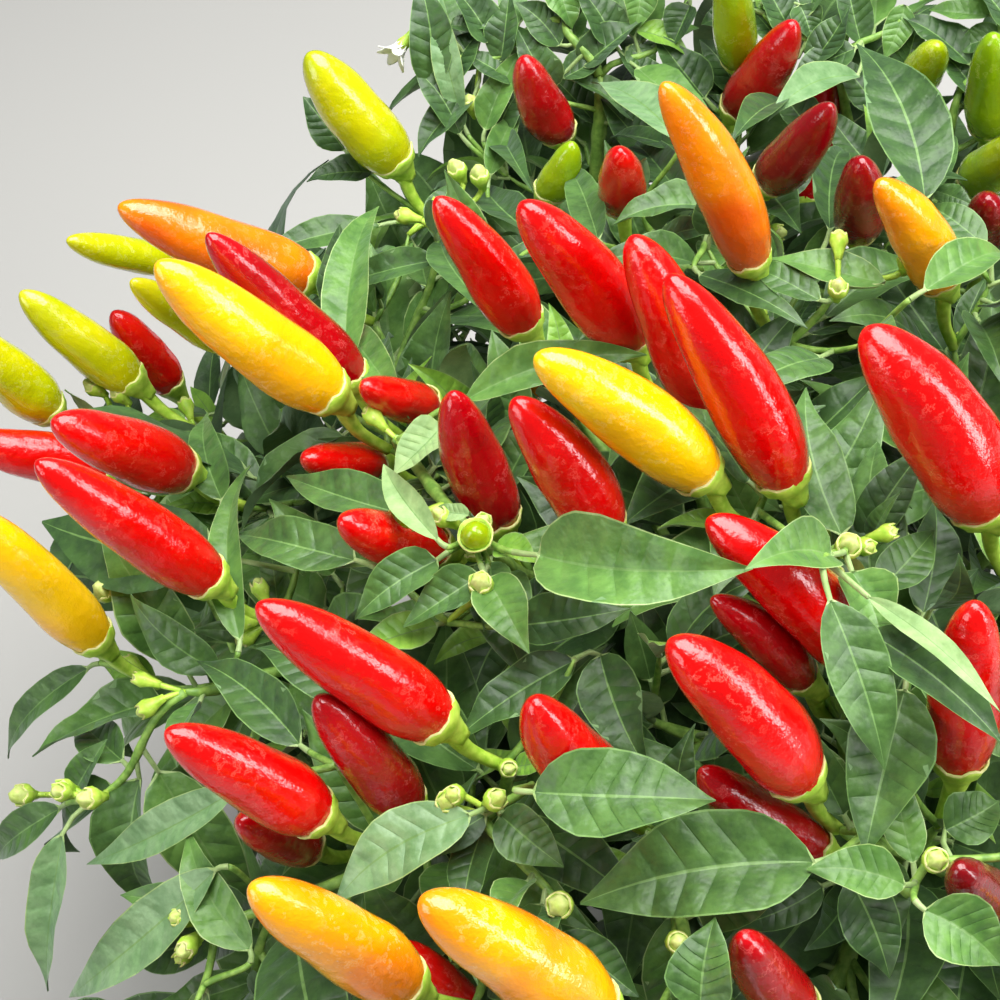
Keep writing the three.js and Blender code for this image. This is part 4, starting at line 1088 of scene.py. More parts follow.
FILL_COLUMNS = np.array([-0.95, -0.5, 0.0, 0.5, 0.95])


def half_width(s, waist):
    """Share of the half width at a share s of the length. A low waist is wide near the stalk."""
    widest = waist / (waist + BLADE.point)
    most = widest**waist * (1 - widest) ** BLADE.point
    return np.clip(s, 0, 1) ** waist * np.clip(1 - s, 0, 1) ** BLADE.point / most


def blade(leaf, rows, columns, relief=0.0):
    """Points on the upper side, from base to tip, and which way it faces there"""
    s, u = rows[:, None], columns[None, :]
    half = leaf.wide / 2
    swept = s + BLADE.sweep * np.abs(u) * half_width(s, leaf.waist) * half / leaf.long * (1 - s)
    hump = leaf.long * 4 * swept * (1 - swept)
    arch, sway = leaf.bow * hump * (0.75 + 0.5 * swept), leaf.sway * hump
    middle = leaf.root + leaf.along * (leaf.long * swept)[..., None] + leaf.face * arch[..., None]
    middle = middle + np.cross(leaf.along, leaf.face) * sway[..., None]
    slope = leaf.bow * 4 * (0.75 - 0.5 * s - 1.5 * s**2)
    way = unit(leaf.along + leaf.face * slope)
    side = unit(np.cross(way, leaf.face))
    normal = np.cross(side, way)
    turn = leaf.twist * (s - 0.2)
    side, normal = side * np.cos(turn) + normal * np.sin(turn), normal * np.cos(turn) - side * np.sin(turn)
    side, normal = side[:, None], normal[:, None]
    out = u * half * half_width(swept, leaf.waist)
    out = out * (1 + BLADE.ragged * np.sin(9 * swept + leaf.phase + 2 * (u > 0)))
    phase = np.where(u > 0, leaf.phase, leaf.phase * 1.7 + 2)
    wave = leaf.wave * half * u**2 * np.sin(2 * math.pi * leaf.ripples * swept + phase)
    lift = np.abs(out) * math.tan(leaf.fold) * (1 - 0.4 * s) + wave * np.sin(math.pi * s) ** 0.5
    lift = lift - leaf.curl * half * u**4 * half_width(s, leaf.waist)
    lift = lift - BLADE.groove * np.exp(-((u / BLADE.groove_wide) ** 2)) * (1 - s) + relief
    points = middle + side * out[..., None] + normal * lift[..., None]
    return points, np.broadcast_to(normal, points.shape)


def leaf_rings(leaf, grid):
    """Stalk and blade as rings: over the upper side and back under the lower one"""
    columns = np.concatenate([grid.top, grid.under])
    over = np.arange(len(columns)) < len(grid.top)
    sunk = np.isin(grid.rows, grid.veins)[:, None] | ~over[None, :]
    depth = BLADE.vein * leaf.wide * np.minimum(1, 4 * np.abs(columns)) * (1 - columns**4)
    relief = np.where(sunk, -depth[None, :] * half_width(grid.rows, leaf.waist)[:, None], 0)
    points, normal = blade(leaf, grid.rows, columns, relief)
    ridge = np.exp(-((columns[None, :] / BLADE.rib_wide) ** 2)) * (1 - grid.rows[:, None])
    thick = np.where(over, 0, BLADE.skin + BLADE.rib * ridge)
    points = points - normal * thick[..., None]
    t = np.linspace(0, 1, grid.stalk_rows)
    line = bezier(leaf.stalk, t)
    ways = unit(np.concatenate([np.diff(line, axis=0), leaf.along[None]]))
    side = unit(np.cross(ways, leaf.face))
    normal = np.cross(side, ways)
    angle = columns * math.pi / 2
    radius = BLADE.stalk * lerp(BLADE.stalk_root, BLADE.stalk_end, t)[:, None, None]
    lift = np.where(over, np.cos(angle), -np.cos(angle))[None, :, None]
    across = side[:, None, :] * np.sin(angle)[None, :, None] + normal[:, None, :] * lift
    return np.concatenate([line[:, None, :] + radius * across, points])


def leaf_strips(leaf, grid):
    """The finish of each face, row by row"""
    # The margin strip is a painted rim highlight: the pale stalk green on lighter leaves, the duller midrib
    # tone on the shade and green ones.
    margin = "midrib" if leaf.tone in ("shade", "green") else "vein"
    tones = {"top": leaf.tone, "under": leaf.under, "midrib": "midrib", "margin": margin}
    strips = np.array([LEAF_NUMBER[tones[strip]] for strip in grid.strips])
    stalk = np.full((grid.stalk_rows, len(strips)), LEAF_NUMBER["vein"])
    return np.concatenate([stalk, np.tile(strips, (len(grid.rows) - 1, 1))])


# %% [markdown]
# ## Leaves that the picture shows
#
# The leaves that stand out in the picture are listed by the pixels of base and tip, with their width in
# millimetres and how far out they lie, at the tip too where that differs. The shaded ones at the end of
# the list lie behind the fruit at the top, where the picture shows no sky through the crown. Each leaf is
# turned to the light, and moved along the line of sight where it would cut through a fruit. Its stalk
# follows later, when the finer twigs have grown.

# %% Leaves that the picture shows
# The last column is the tone: shade, light and pale are painted shade, painted light and a painted sky sheen
PLACED_LEAVES = [
    ((538, 555), (755, 568), 21, (1.10, 1.2), "light"), ((495, 548), (540, 565), 8, 1.06, "young"),
    ((410, 515), (285, 476), 13, 1.02, "green"), ((355, 560), (237, 535), 15, 1.0, "green"),
    ((480, 575), (402, 628), 11, 1.04, "green"), ((487, 578), (530, 655), 13, 1.05, "light"),
    ((437, 560), (355, 620), 12, 1.02, "green"), ((515, 625), (633, 608), 13, 1.0, "shade"),
    ((832, 555), (745, 570), 13, (1.12, 1.24), "light"), ((842, 535), (805, 382), 15, 1.07, "green"),
    ((852, 572), (884, 660), 13, 1.13, "light"), ((868, 597), (1002, 714), 6, (1.2, 1.29), "under_pale"),
    ((868, 632), (1003, 745), 14, (1.14, 1.21), "shade"), ((830, 600), (885, 772), 15, (1.23, 1.12), "green"),
    ((905, 690), (865, 855), 20, 1.0, "green"), ((533, 792), (712, 800), 21, (1.07, 1.05), "green"),
    ((815, 862), (577, 905), 25, 1.04, "green"), ((905, 885), (805, 870), 12, 1.06, "light"),
    ((925, 910), (1000, 965), 16, 1.05, "light"), ((850, 880), (890, 980), 14, 0.98, "shade"),
    ((700, 1010), (715, 918), 15, 1.0, "green"), ((560, 935), (640, 998), 12, 0.98, "shade"),
    ((500, 815), (565, 868), 13, 1.0, "green"), ((575, 660), (455, 740), 14, 0.97, "shade"),
    ((600, 655), (650, 775), 15, 0.95, "shade"), ((470, 815), (335, 905), 16, 1.02, "pale"),
    ((250, 950), (187, 825), 13, 1.0, "light"), ((215, 870), (68, 998), 15, 1.02, "pale"),
    ((235, 790), (85, 865), 12, 1.0, "pale"), ((62, 835), (48, 993), 12, 1.04, "pale"),
    ((60, 808), (0, 860), 11, 1.0, "green"), ((75, 790), (108, 738), 9, 1.0, "green"),
    ((88, 668), (8, 760), 10, 0.98, "green"), ((300, 745), (195, 660), 14, 0.98, "shade"),
    ((345, 700), (255, 648), 13, 0.96, "shade"), ((240, 640), (252, 460), 10, 1.03, "light"),
    ((222, 500), (207, 410), 12, 1.0, "green"), ((345, 370), (380, 205), 14, 1.0, "light"),
    ((345, 330), (410, 420), 12, 1.0, "light"), ((435, 260), (300, 310), 11, 0.98, "green"),
    ((380, 225), (250, 260), 12, 0.97, "green"), ((440, 240), (500, 325), 11, 0.98, "green"),
    ((432, 90), (418, -25), 15, 1.0, "shade"), ((465, 400), (650, 355), 12, 1.05, "light"),
    ((885, 283), (762, 258), 12, 1.02, "light"), ((862, 45), (845, -30), 12, 1.08, "shade"),
    ((820, 300), (745, 265), 10, 1.0, "green"),
    ((925, 290), (1000, 255), 13, 1.0, "light"), ((880, 590), (935, 530), 12, 1.0, "green"),
    ((945, 830), (1000, 800), 13, 1.0, "green"), ((925, 200), (855, 42), 22, 1.08, "shade"),
    ((858, 75), (768, 122), 12, 1.05, "pale"), ((905, 5), (883, 60), 10, 1.1, "light"),
    ((830, 230), (845, 148), 12, 1.0, "shade"), ((985, 245), (925, 205), 11, 1.02, "green"),
    ((935, 190), (950, 132), 9, 1.0, "green"), ((700, 274), (810, 330), 11, 0.97, "shade"),
    ((678, 140), (590, 82), 16, 1.08, "pale"), ((635, 120), (563, 78), 12, 1.04, "green"),
    ((558, -25), (573, 30), 14, 1.12, "light"), ((640, -25), (632, 34), 12, 1.12, "light"),
    ((637, 30), (690, 58), 10, 1.08, "young"), ((485, 130), (525, 46), 11, 1.03, "light"),
    ((490, 175), (521, 110), 9, 1.02, "light"), ((505, 142), (535, 195), 10, 0.98, "shade"),
    ((598, 240), (568, 170), 11, 1.0, "green"), ((706, 205), (612, 226), 12, 1.0, "green"),
    ((450, 25), (493, 27), 8, 1.05, "green"), ((442, 425), (390, 478), 12, 1.06, "under_pale"),
    ((470, 514), (434, 508), 5, 1.08, "under_pale"), ((438, 540), (384, 464), 8, 1.07, "under_pale"),
    ((462, 118), (440, -15), 10, 1.03, "pale"), ((345, 150), (302, 95), 14, 0.97, "shade"),
    ((372, 172), (305, 182), 12, 0.97, "shade"), ((563, 78), (620, 48), 12, 1.05, "shade"),
    ((560, 45), (515, 2), 13, 1.05, "shade"), ((500, 62), (510, -10), 12, 1.03, "shade"),
    ((520, 82), (460, 50), 11, 1.02, "shade"), ((690, 150), (610, 138), 9, 1.0, "shade"),
    ((630, 45), (655, 85), 10, 1.03, "green"), ((782, 100), (732, 142), 12, 1.02, "shade"),
    ((855, 48), (790, 82), 14, 1.02, "shade"), ((765, 185), (803, 235), 14, 0.98, "shade"),
    ((935, 190), (975, 207), 8, 1.0, "green"), ((1005, 38), (955, 52), 11, 1.06, "green"),
    ((990, 15), (928, 10), 9, 1.08, "light"), ((745, 5), (700, 25), 12, 1.06, "shade"),
    ((690, 5), (672, 48), 12, 1.06, "shade"), ((800, 5), (812, 45), 11, 1.08, "shade"),
    ((960, 92), (990, 130), 11, 1.02, "shade"), ((725, 120), (690, 100), 11, 0.98, "shade"),
    ((492, 42), (450, -15), 14, 0.98, "shade"), ((615, 45), (570, -18), 14, 0.98, "shade"),
    ((582, 66), (645, 20), 14, 0.96, "shade"), ((448, 84), (490, 24), 13, 0.95, "shade"),
    ((552, 90), (515, 24), 13, 0.96, "shade"), ((705, 98), (652, 32), 15, 0.96, "shade"),
    ((660, 104), (615, 48), 14, 0.95, "shade"), ((596, 124), (542, 68), 13, 0.96, "shade"),
    ((740, 116), (688, 74), 13, 0.97, "shade"), ((460, 134), (412, 68), 13, 0.95, "shade"),
    ((474, 96), (418, 158), 13, 0.95, "shade"), ((495, 148), (528, 84), 12, 0.95, "shade"),
    ((540, 238), (486, 188), 13, 0.94, "shade"), ((795, 38), (758, -25), 14, 1.0, "shade"),
    ((970, 64), (902, 18), 14, 1.0, "shade"), ((902, 80), (918, 22), 13, 1.0, "shade"),
    ((1012, 28), (965, -20), 14, 1.0, "shade"), ((790, 62), (746, 6), 13, 0.99, "shade"),
    ((738, 94), (698, 38), 14, 0.97, "shade"), ((810, 64), (850, 6), 13, 1.0, "shade"),
    ((872, 167), (826, 110), 13, 0.95, "shade"), ((882, 112), (836, 56), 13, 0.97, "shade"),
    ((817, 137), (773, 83), 13, 0.95, "shade"), ((682, 197), (634, 146), 13, 0.94, "shade"),
    ((647, 152), (600, 98), 13, 0.94, "shade"), ((977, 94), (928, 43), 13, 0.99, "shade"),
]
LEAF = Sizes(longest=74, towards_eye=0.55, stray=(0.2, 0.15), stalk_share=0.16, shortest_stalk=4,
             long_stalk=14)
PLACED_FORM = Sizes(bow=(0.03, 0.11), sway=(-0.07, 0.07), fold=(0.25, 0.65), twist=(-0.5, 0.5),
                    wave=(0.07, 0.18), ripples=(1.2, 2.2), phase=(0, 6), curl=(-0.04, 0.08),
                    waist=(0.55, 0.8))
SHIFTS = [0, 2, -2, 4, -4, 6, -6, 8, -8, 10, -10, 13, -13, 16, -16, 20, 24]
leaves = []


def thrown(form, roll):
    """One throw of the dice for each span of a leaf's form"""
    return {name: roll(*span) for name, span in vars(form).items()}


def strayed(roll, level, upright):
    """A small change of way, the same in both level ways and another upright"""
    return vec(roll(-level, level), roll(-level, level), roll(-upright, upright))


def turned_to(light, along):
    """The way square to a leaf's length that looks most towards the light"""
    return unit(light - along * (light @ along))


def placed_end(root, pixel, reach):
    """Where a placed leaf ends: on the crown, or nearer where that would be too long"""
    ray = unit(sight(pixel))
    wish = on_crown(pixel, reach)
    nearest = EYE + ray * ((root - EYE) @ ray)
    aside = np.linalg.norm(nearest - root)
    along = (wish - nearest) @ ray
    most = math.sqrt(max(LEAF.longest**2 - aside**2, 0))
    return nearest + ray * min(max(along, -most), most)


for i, (root_pixel, tip_pixel, wide, reach, tone) in enumerate(PLACED_LEAVES):
    roll = dice(FIRST_SEED.placed_leaf + i)
    here, there = reach if isinstance(reach, tuple) else (reach, reach)
    root = on_crown(root_pixel, here)
    tip = placed_end(root, tip_pixel, there)
    along = unit(tip - root)
    light = unit(EYE - root) * LEAF.towards_eye + (UP + outward(root)) * (1 - LEAF.towards_eye)
    light = light + strayed(roll, *LEAF.stray)
    leaf = Sizes(
        root=root, along=along, face=turned_to(light, along), long=np.linalg.norm(tip - root), wide=wide,
        **thrown(PLACED_FORM, roll), tone=tone, under="under", grid=FINE)
    filled, towards_eye = blade(leaf, FILL_ROWS, FILL_COLUMNS)[0], unit(EYE - root)
    shift = next((shift for shift in SHIFTS if not fruit_room[cells(filled + towards_eye * shift)].any()), 0)
    leaf.root, filled = root + towards_eye * shift, filled + towards_eye * shift
    leaves.append(leaf)
    fill_room(filled)
    keep_in_sight(filled)
print(len(leaves), "placed leaves,", round(min(leaf.long for leaf in leaves)), "to",
      round(max(leaf.long for leaf in leaves)), "mm long")

# %% [markdown]
# ## Finer twigs
#
# The frame's twigs end in one shoot each. The real bush also has a short side twig at most of the nodes
# in between. They follow the same rule on a smaller scale: each leaves its node at an angle, turns
# towards the light, and is left out where it would touch a fruit or another twig.

# %% Finer twigs
SPRIG = Sizes(share=0.85, shortest=14, longest=34, root=1.15, tip=0.85, tries=6, turn_on=1.1,
              spread=(40, 75), outwards=0.6, upwards=0.35, clear=0.6, skip=2, rows=7, reach=1.03)
sprigs = []
solid_rows = np.concatenate([fruit_rows, grown_rows] + [bough.rows for bough in boughs])


def square_to(axis, around):
    """A way square to an axis, at some angle round it"""
    guide = vec(1, 0, 0) if abs(axis[2]) > 0.9 else UP
    side = unit(np.cross(guide, axis))
    return side * math.cos(around) + np.cross(axis, side) * math.sin(around)


def reach_of(point):
    """How far out a point lies; 1 is the crown's own surface"""
    way = point - CROWN.middle
    return np.linalg.norm(way / vec(CROWN.across, CROWN.across, CROWN.up if way[2] > 0 else CROWN.down))


def seen_from_camera(point, margin=0):
    x, y, _ = in_frame(point)
    return -margin < x < VIEW.frame + margin and -margin < y < VIEW.frame + margin


def grow_sprig(mass, joint, roll, number):
    """The first try at a side twig that stays clear, or None"""
    for attempt in range(SPRIG.tries):
        long = roll(SPRIG.shortest, SPRIG.longest)
        around = number * GOLDEN_ANGLE + attempt * SPRIG.turn_on
        spread = math.radians(roll(*SPRIG.spread))
        leave = unit(joint.along * math.cos(spread) + square_to(joint.along, around) * math.sin(spread))
        arrive = unit(leave + outward(joint.at) * SPRIG.outwards + UP * SPRIG.upwards)
        end = joint.at + unit(leave + arrive) * long
        path = bezier(bent(joint.at, leave, end, arrive), np.linspace(0, 1, SPRIG.rows))
        if in_window(end) or hides_placed(path) or (end < BOX_LOW).any() or (end > BOX_HIGH).any():
            continue
        if reach_of(end) > SPRIG.reach and seen_from_camera(end):
            continue
        if not too_near(capsules_of(path[SPRIG.skip:], SPRIG.root), solid_rows, SPRIG.clear):
            return Sizes(path=path, mass=mass, joint=joint, held=0, fruit=None,
                         radii=np.linspace(SPRIG.root, SPRIG.tip, SPRIG.rows))
    return None


for mass in masses:
    for number, joint in enumerate(mass.joints[1:]):
        roll = dice(FIRST_SEED.sprig + 200 * mass.number + number)
        sprig = grow_sprig(mass, joint, roll, number) if roll() < SPRIG.share else None
        if sprig:
            sprigs.append(sprig)
            fill_room(sprig.path[SPRIG.skip:])
print(len(sprigs), "finer twigs")

# %% [markdown]
# ## What each twig holds
#
# A twig without leaves dries up and falls. So each thing that grows from a twig notes the point that
# bears it, and in the end every twig is cut back to the outermost of these. The placed leaves come first:
# each gets a stalk from the twig point that lies best behind its base, or from the next best where that
# stalk would run through a fruit. A long stalk is drawn as a bit of twig with a short stalk at its end.

# %% What each twig holds
LEAF_JOIN = Sizes(turn=0.7, spots=400, every=4, lifts=(0, 0.6, 1.3, 2), tested=np.linspace(0.03, 0.95, 11))
LONG_STALK = Sizes(rows=14, bare=3, root=1.0, tip=BLADE.stalk * 1.1, sides=6)
limbs = twigs + sprigs
for limb in limbs:
    limb.held = 0
wood = np.concatenate([limb.path for limb in limbs])
wood_limb = np.concatenate([np.full(len(limb.path), i) for i, limb in enumerate(limbs)])
wood_point = np.concatenate([np.arange(len(limb.path)) for limb in limbs])
twig_sheaf = Sheaf()


def hold(spot):
    """Notes that something grows from this point of the wood, and gives its twig"""
    limb = limbs[wood_limb[spot]]
    limb.held = max(limb.held, int(wood_point[spot]))
    return limb


def join_to_wood(leaf):
    """Gives a placed leaf its stalk. Lift is how far the stalk is swung out towards the eye."""
    reach = leaf.root - wood
    far = np.linalg.norm(reach, axis=1)
    straight = (reach @ leaf.along) / np.maximum(far, 1e-6)
    order = np.argsort(far * (1 + LEAF_JOIN.turn - LEAF_JOIN.turn * straight))
    towards_eye = unit(EYE - leaf.root)
    spots = order[:LEAF_JOIN.spots:LEAF_JOIN.every]
    for best, lift in [(spot, lift) for spot in spots for lift in LEAF_JOIN.lifts] + [(order[0], 0)]:
        way = unit(reach[best] + towards_eye * lift * far[best])
        path = bezier(bent(wood[best], way, leaf.root, leaf.along), LEAF_JOIN.tested)
        if not fruit_room[cells(path)].any():
            break
    leaf.mass = hold(best).mass
    start = wood[best]
    if far[best] > LEAF.long_stalk:
        path = bezier(bent(start, way, leaf.root, leaf.along), np.linspace(0, 1, LONG_STALK.rows))
        bare = path[:-LONG_STALK.bare]
        radii = np.linspace(LONG_STALK.root, LONG_STALK.tip, len(bare))
        twig_sheaf.add(tube(bare, radii, LONG_STALK.sides), 0)
        start, way = bare[-1], unit(path[len(bare)] - bare[-1])
    leaf.stalk = bent(start, way, leaf.root, leaf.along)


for leaf in leaves:
    join_to_wood(leaf)
    keep_in_sight(bezier(leaf.stalk, np.linspace(0, 1, 4)))
print("longest way from a twig to a placed leaf:",
      round(max(np.linalg.norm(wood - leaf.root, axis=1).min() for leaf in leaves)), "mm")

# %% [markdown]
# ## The other leaves
#
# Leaves crowd round the tip of each shoot, the youngest small and upright in the middle, older ones
# longer and spread wider. A few tries turn each leaf round its twig until it finds free room. Leaves
# that the picture shows from close by get the fine grid with veins, and the others a plainer one.

# %% The other leaves
ROSETTE = Sizes(leaves=6, sprig_leaves=3, first=1.5, apart=4.5, tries=9, turn_on=0.75, longest=62,
                sprig_longest=62 * 0.85, shortest=28, shrink=0.93, grow=0.7, vary=(0.85, 1.1),
                spread=(34, 88), loose=10, droop=(-0.25, 0.1), stray=(0.5, 0.3), lowest=22)
# Thresholds that deal out the leaf tones: painted shade, plain green, painted light, and young leaves
TONES = Sizes(stray=0.3, shaded=0.3, green=0.75, young=0.5)
ROSETTE_FORM = Sizes(bow=(0.03, 0.19), sway=(-0.08, 0.08), fold=(0.15, 0.65), twist=(-0.9, 0.9),
                     wave=(0.05, 0.16), ripples=(1.2, 2.2), phase=(0, 6), curl=(-0.1, 0.25), waist=(0.5, 0.8))
SLIM = (0.36, 0.46)
EDGE = Sizes(low=BOX_LOW + 1, high=BOX_HIGH - 1)
NEAR = Sizes(margin=40, depth=625)
LEAFY_SHARE = 0.6


def back_along(path, distance):
    """The place on a path that lies so far behind its end, but never among the first part of it"""
    run = run_along(path[::-1])
    back = min(distance, run[-1] * LEAFY_SHARE)
    return np.array([np.interp(back, run, path[::-1][:, k]) for k in range(3)])


def shape_leaf(node, axis, around, spread, long, roll):
    """A leaf that leaves its twig at an angle and turns its face to the light"""
    leave = unit(axis * math.cos(spread) + square_to(axis, around) * math.sin(spread))
    along = unit(leave + UP * roll(*ROSETTE.droop))
    stalk = max(LEAF.shortest_stalk, LEAF.stalk_share * long)
    root = node + unit(leave + along) * stalk
    light = UP + outward(node) + strayed(roll, *ROSETTE.stray)
    return Sizes(
        root=root, along=along, face=turned_to(light, along), long=long, wide=long * roll(*SLIM),
        **thrown(ROSETTE_FORM, roll), stalk=bent(node, leave, root, along))


def has_room(points):
    if (points < EDGE.low).any() or (points > EDGE.high).any() or points[..., 2].min() < ROSETTE.lowest:
        return False
    return not room[cells(points)].any() and hides_placed(points) == 0


def seen_near(leaf):
    middle = leaf.root + leaf.along * leaf.long / 2
    return seen_from_camera(middle, NEAR.margin) and in_frame(middle)[2] < NEAR.depth


def point_past(path, distance):
    """The last point of a twig that is needed for a leaf that far behind its end"""
    run = run_along(path[::-1])
    return len(path) - max(int(np.searchsorted(run, min(distance, run[-1] * LEAFY_SHARE))), 1)


def grow_rosette(limb, roll, count, longest, placed):
    path, mass = limb.path, limb.mass
    axis = unit(path[-1] - path[-2])
    turn = roll(0, 2 * math.pi)
    # How deep each rosette's leaves lie in painted shade or painted light: the shade, green and light tones
    shade = roll()
    for k in range(count):
        age = k / max(count - 1, 1)
        tone_at = shade + roll(-TONES.stray, TONES.stray)
        tone = "shade" if tone_at < TONES.shaded else "green" if tone_at < TONES.green else "light"
        node = back_along(path, ROSETTE.first + ROSETTE.apart * k)
        long = lerp(ROSETTE.shortest, longest, age**ROSETTE.grow) * roll(*ROSETTE.vary)
        spread = math.radians(lerp(*ROSETTE.spread, age) + roll(-ROSETTE.loose, ROSETTE.loose))
        for attempt in range(ROSETTE.tries):
            around = turn + k * GOLDEN_ANGLE + attempt * ROSETTE.turn_on
            leaf = shape_leaf(node, axis, around, spread, long, roll)
            long *= ROSETTE.shrink
            if not placed and in_window(leaf.root + leaf.along * leaf.long):
                continue
            if not has_room(blade(leaf, TEST_ROWS, FILL_COLUMNS)[0]):
                continue
            leaf.mass = mass
            limb.held = max(limb.held, point_past(path, ROSETTE.first + ROSETTE.apart * k))
            leaf.tone = "young" if age == 0 and roll() < TONES.young else tone
            # Young leaves have a paler underside of their own; for leaves in the light tone it is painted
            # light.
            leaf.under = "under_pale" if leaf.tone in ("young", "light") else "under"
            leaf.grid = FINE if seen_near(leaf) else PLAIN
            leaves.append(leaf)
            fill_room(blade(leaf, FILL_ROWS, FILL_COLUMNS)[0])
            break


for i, twig in enumerate(twigs):
    roll = dice(FIRST_SEED.rosette + i)
    grow_rosette(twig, roll, ROSETTE.leaves, ROSETTE.longest, twig.shoot.placed)
for i, sprig in enumerate(sprigs):
    roll = dice(FIRST_SEED.sprig_leaf + i)
    grow_rosette(sprig, roll, ROSETTE.sprig_leaves, ROSETTE.sprig_longest, False)
fine = sum(leaf.grid is FINE for leaf in leaves)
print(len(leaves), "leaves,", fine, "of them fine")

# %% [markdown]
# ## Leaves that close the gaps
#
# A bush lays its leaves like a mosaic: those further in turn to where light still falls through. The
# same is done here. The crown is looked at from the camera and from six sides, each view is laid out in
# cells, and where too little covers a cell a shaded leaf grows into it from a twig nearby, unless it
# would hide what the picture shows. Its neck may pass close to other things, but its blade has to be clear.

# %% Leaves that close the gaps
MOSAIC = Sizes(fill=0.93, rim=1.0, near=4, far=62, tries=80, shortest=20, longest=60, slim=(0.38, 0.5),
               depth=(-0.5, 0.5), reach=(1.2, 1.8), before=0.55, upwards=0.6, outwards=0.6,
               to_viewer=(0.2, 1.0), neck_rows=5, shaded=0.7, step=5.0, frame_cell=12, cell=5,
               low=-320, enough=3, in_frame=190, each_side=28, sides=6, turn=15, elevation=24)
MOSAIC_FORM = Sizes(bow=(0, 0.12), sway=(-0.06, 0.06), fold=(0.1, 0.4), twist=(-0.5, 0.5), wave=(0.05, 0.12),
                    ripples=(1.2, 2.2), phase=(0, 6), curl=(-0.1, 0.2), waist=(0.55, 0.8))
MIDRIB = list(FILL_COLUMNS).index(0)


def side_view(around, above):
    a, e = math.radians(around), math.radians(above)
    forward = -vec(math.cos(e) * math.cos(a), math.cos(e) * math.sin(a), math.sin(e))
    right = unit(np.cross(forward, UP))
    return Sizes(right=right, above=np.cross(right, forward), forward=forward, close=False,
                 low=MOSAIC.low, cell=MOSAIC.cell, count=int(-2 * MOSAIC.low / MOSAIC.cell))


def look(view, points):
    """Where points lie in a view, and how many millimetres one unit of it is there"""
    if view.close:
        x, y, depth = in_frame(points)
        return np.stack([x, y], axis=-1), depth / VIEW.focal
    return np.stack([points @ view.right, -points @ view.above], axis=-1), np.ones(len(points))


def count_cells(view, points):
    seen = np.zeros((view.count, view.count), int)
    at = np.floor((look(view, points)[0] - view.low) / view.cell).astype(int)
    at = at[((at >= 0) & (at < view.count)).all(axis=1)]
    np.add.at(seen, (at[:, 0], at[:, 1]), 1)
    return seen


def leaf_into(view, spot, away, roll):
    """A leaf from a point of the wood across a gap that lies that far away in the plane of the view"""
    node = wood[spot]
    far = np.linalg.norm(away)
    to_gap = view.right * away[0] - view.above * away[1] + view.forward * roll(*MOSAIC.depth) * far
    along = unit(to_gap)
    long = min(max(far * roll(*MOSAIC.reach), MOSAIC.shortest), MOSAIC.longest)
    root = node + along * max(LEAF.shortest_stalk, LEAF.stalk_share * long, far - MOSAIC.before * long)
    light = UP * MOSAIC.upwards + outward(node) * MOSAIC.outwards - view.forward * roll(*MOSAIC.to_viewer)
    return Sizes(
        root=root, along=along, face=turned_to(light, along), long=long, wide=long * roll(*MOSAIC.slim),
        **thrown(MOSAIC_FORM, roll), stalk=bent(node, along, root, along),
        tone="shade" if roll() < MOSAIC.shaded else "green", under="under", grid=PLAIN)


def close_gaps(view, fill, most, seed):
    """Grows up to so many leaves into the open cells of a view, and tells how many it grew"""
    roll = dice(seed)
    way = np.where(grid[:, 2:] > 0, half_size[0], half_size[1]) * fill
    wanted = count_cells(view, CROWN.middle + grid[((grid / way) ** 2).sum(axis=1) < 1]) > 0
    bodies = [blade(leaf, FILL_ROWS, FILL_COLUMNS)[0].reshape(-1, 3) for leaf in leaves]
    seen = count_cells(view, np.concatenate(bodies + [fruit.skin for fruit in fruits]))
    open_cells = np.argwhere(wanted & (seen < MOSAIC.enough))
    order = np.argsort([roll() for _ in open_cells])
    at, scale = look(view, wood)
    made = 0
    for column, row in open_cells[order]:
        if made == most or seen[column, row] >= MOSAIC.enough:
            continue
        away = (view.low + (np.array([column, row]) + 0.5) * view.cell - at) * scale[:, None]
        far = np.linalg.norm(away, axis=1)
        near = np.flatnonzero((far > MOSAIC.near) & (far < MOSAIC.far))
        for _ in range(MOSAIC.tries if len(near) else 0):
            spot = near[int(roll(0, len(near)))]
            leaf = leaf_into(view, spot, away[spot], roll)
            body = blade(leaf, FILL_ROWS, FILL_COLUMNS)[0]
            stray = any(in_window(point) for point in body[::4, MIDRIB])
            if stray or hides_placed(body) or not has_room(body[MOSAIC.neck_rows:, 1:-1]):
                continue
            fill_room(body)
            seen += count_cells(view, body.reshape(-1, 3))
            leaf.mass = hold(spot).mass
            leaves.append(leaf)
            made += 1
            break
    print("open cells:", len(open_cells), "at first and",
          int((wanted & (seen < MOSAIC.enough)).sum()), "after", made, "leaves")
    return made


steps = [np.arange(-size, size, MOSAIC.step) for size in (CROWN.across, CROWN.across, CROWN.up)]
grid = np.stack(np.meshgrid(*steps, indexing="ij"), axis=-1).reshape(-1, 3)
half_size = vec(CROWN.across, CROWN.across, CROWN.up), vec(CROWN.across, CROWN.across, CROWN.down)
camera_view = Sizes(right=RIGHT, above=ABOVE, forward=FORWARD, close=True, low=0,
                    cell=MOSAIC.frame_cell, count=VIEW.frame // MOSAIC.frame_cell)
made = [close_gaps(camera_view, MOSAIC.rim, MOSAIC.in_frame, FIRST_SEED.gap_in_picture)]
for k in range(MOSAIC.sides):
    view = side_view(360 / MOSAIC.sides * k + MOSAIC.turn, MOSAIC.elevation)
    made.append(close_gaps(view, MOSAIC.fill, MOSAIC.each_side, FIRST_SEED.gap_at_side + k))
print("leaves that close gaps, in the picture and from each side:", made)

# %% [markdown]
# ## Leaf pieces
#
# A piece stays under 200,000 triangles, so the leaves are gathered mass by mass and a new piece is begun
# when the last one is full.

# %% Leaf pieces
MOST_TRIANGLES = 185_000
green = list(LEAF_TONES.values())
pieces = []


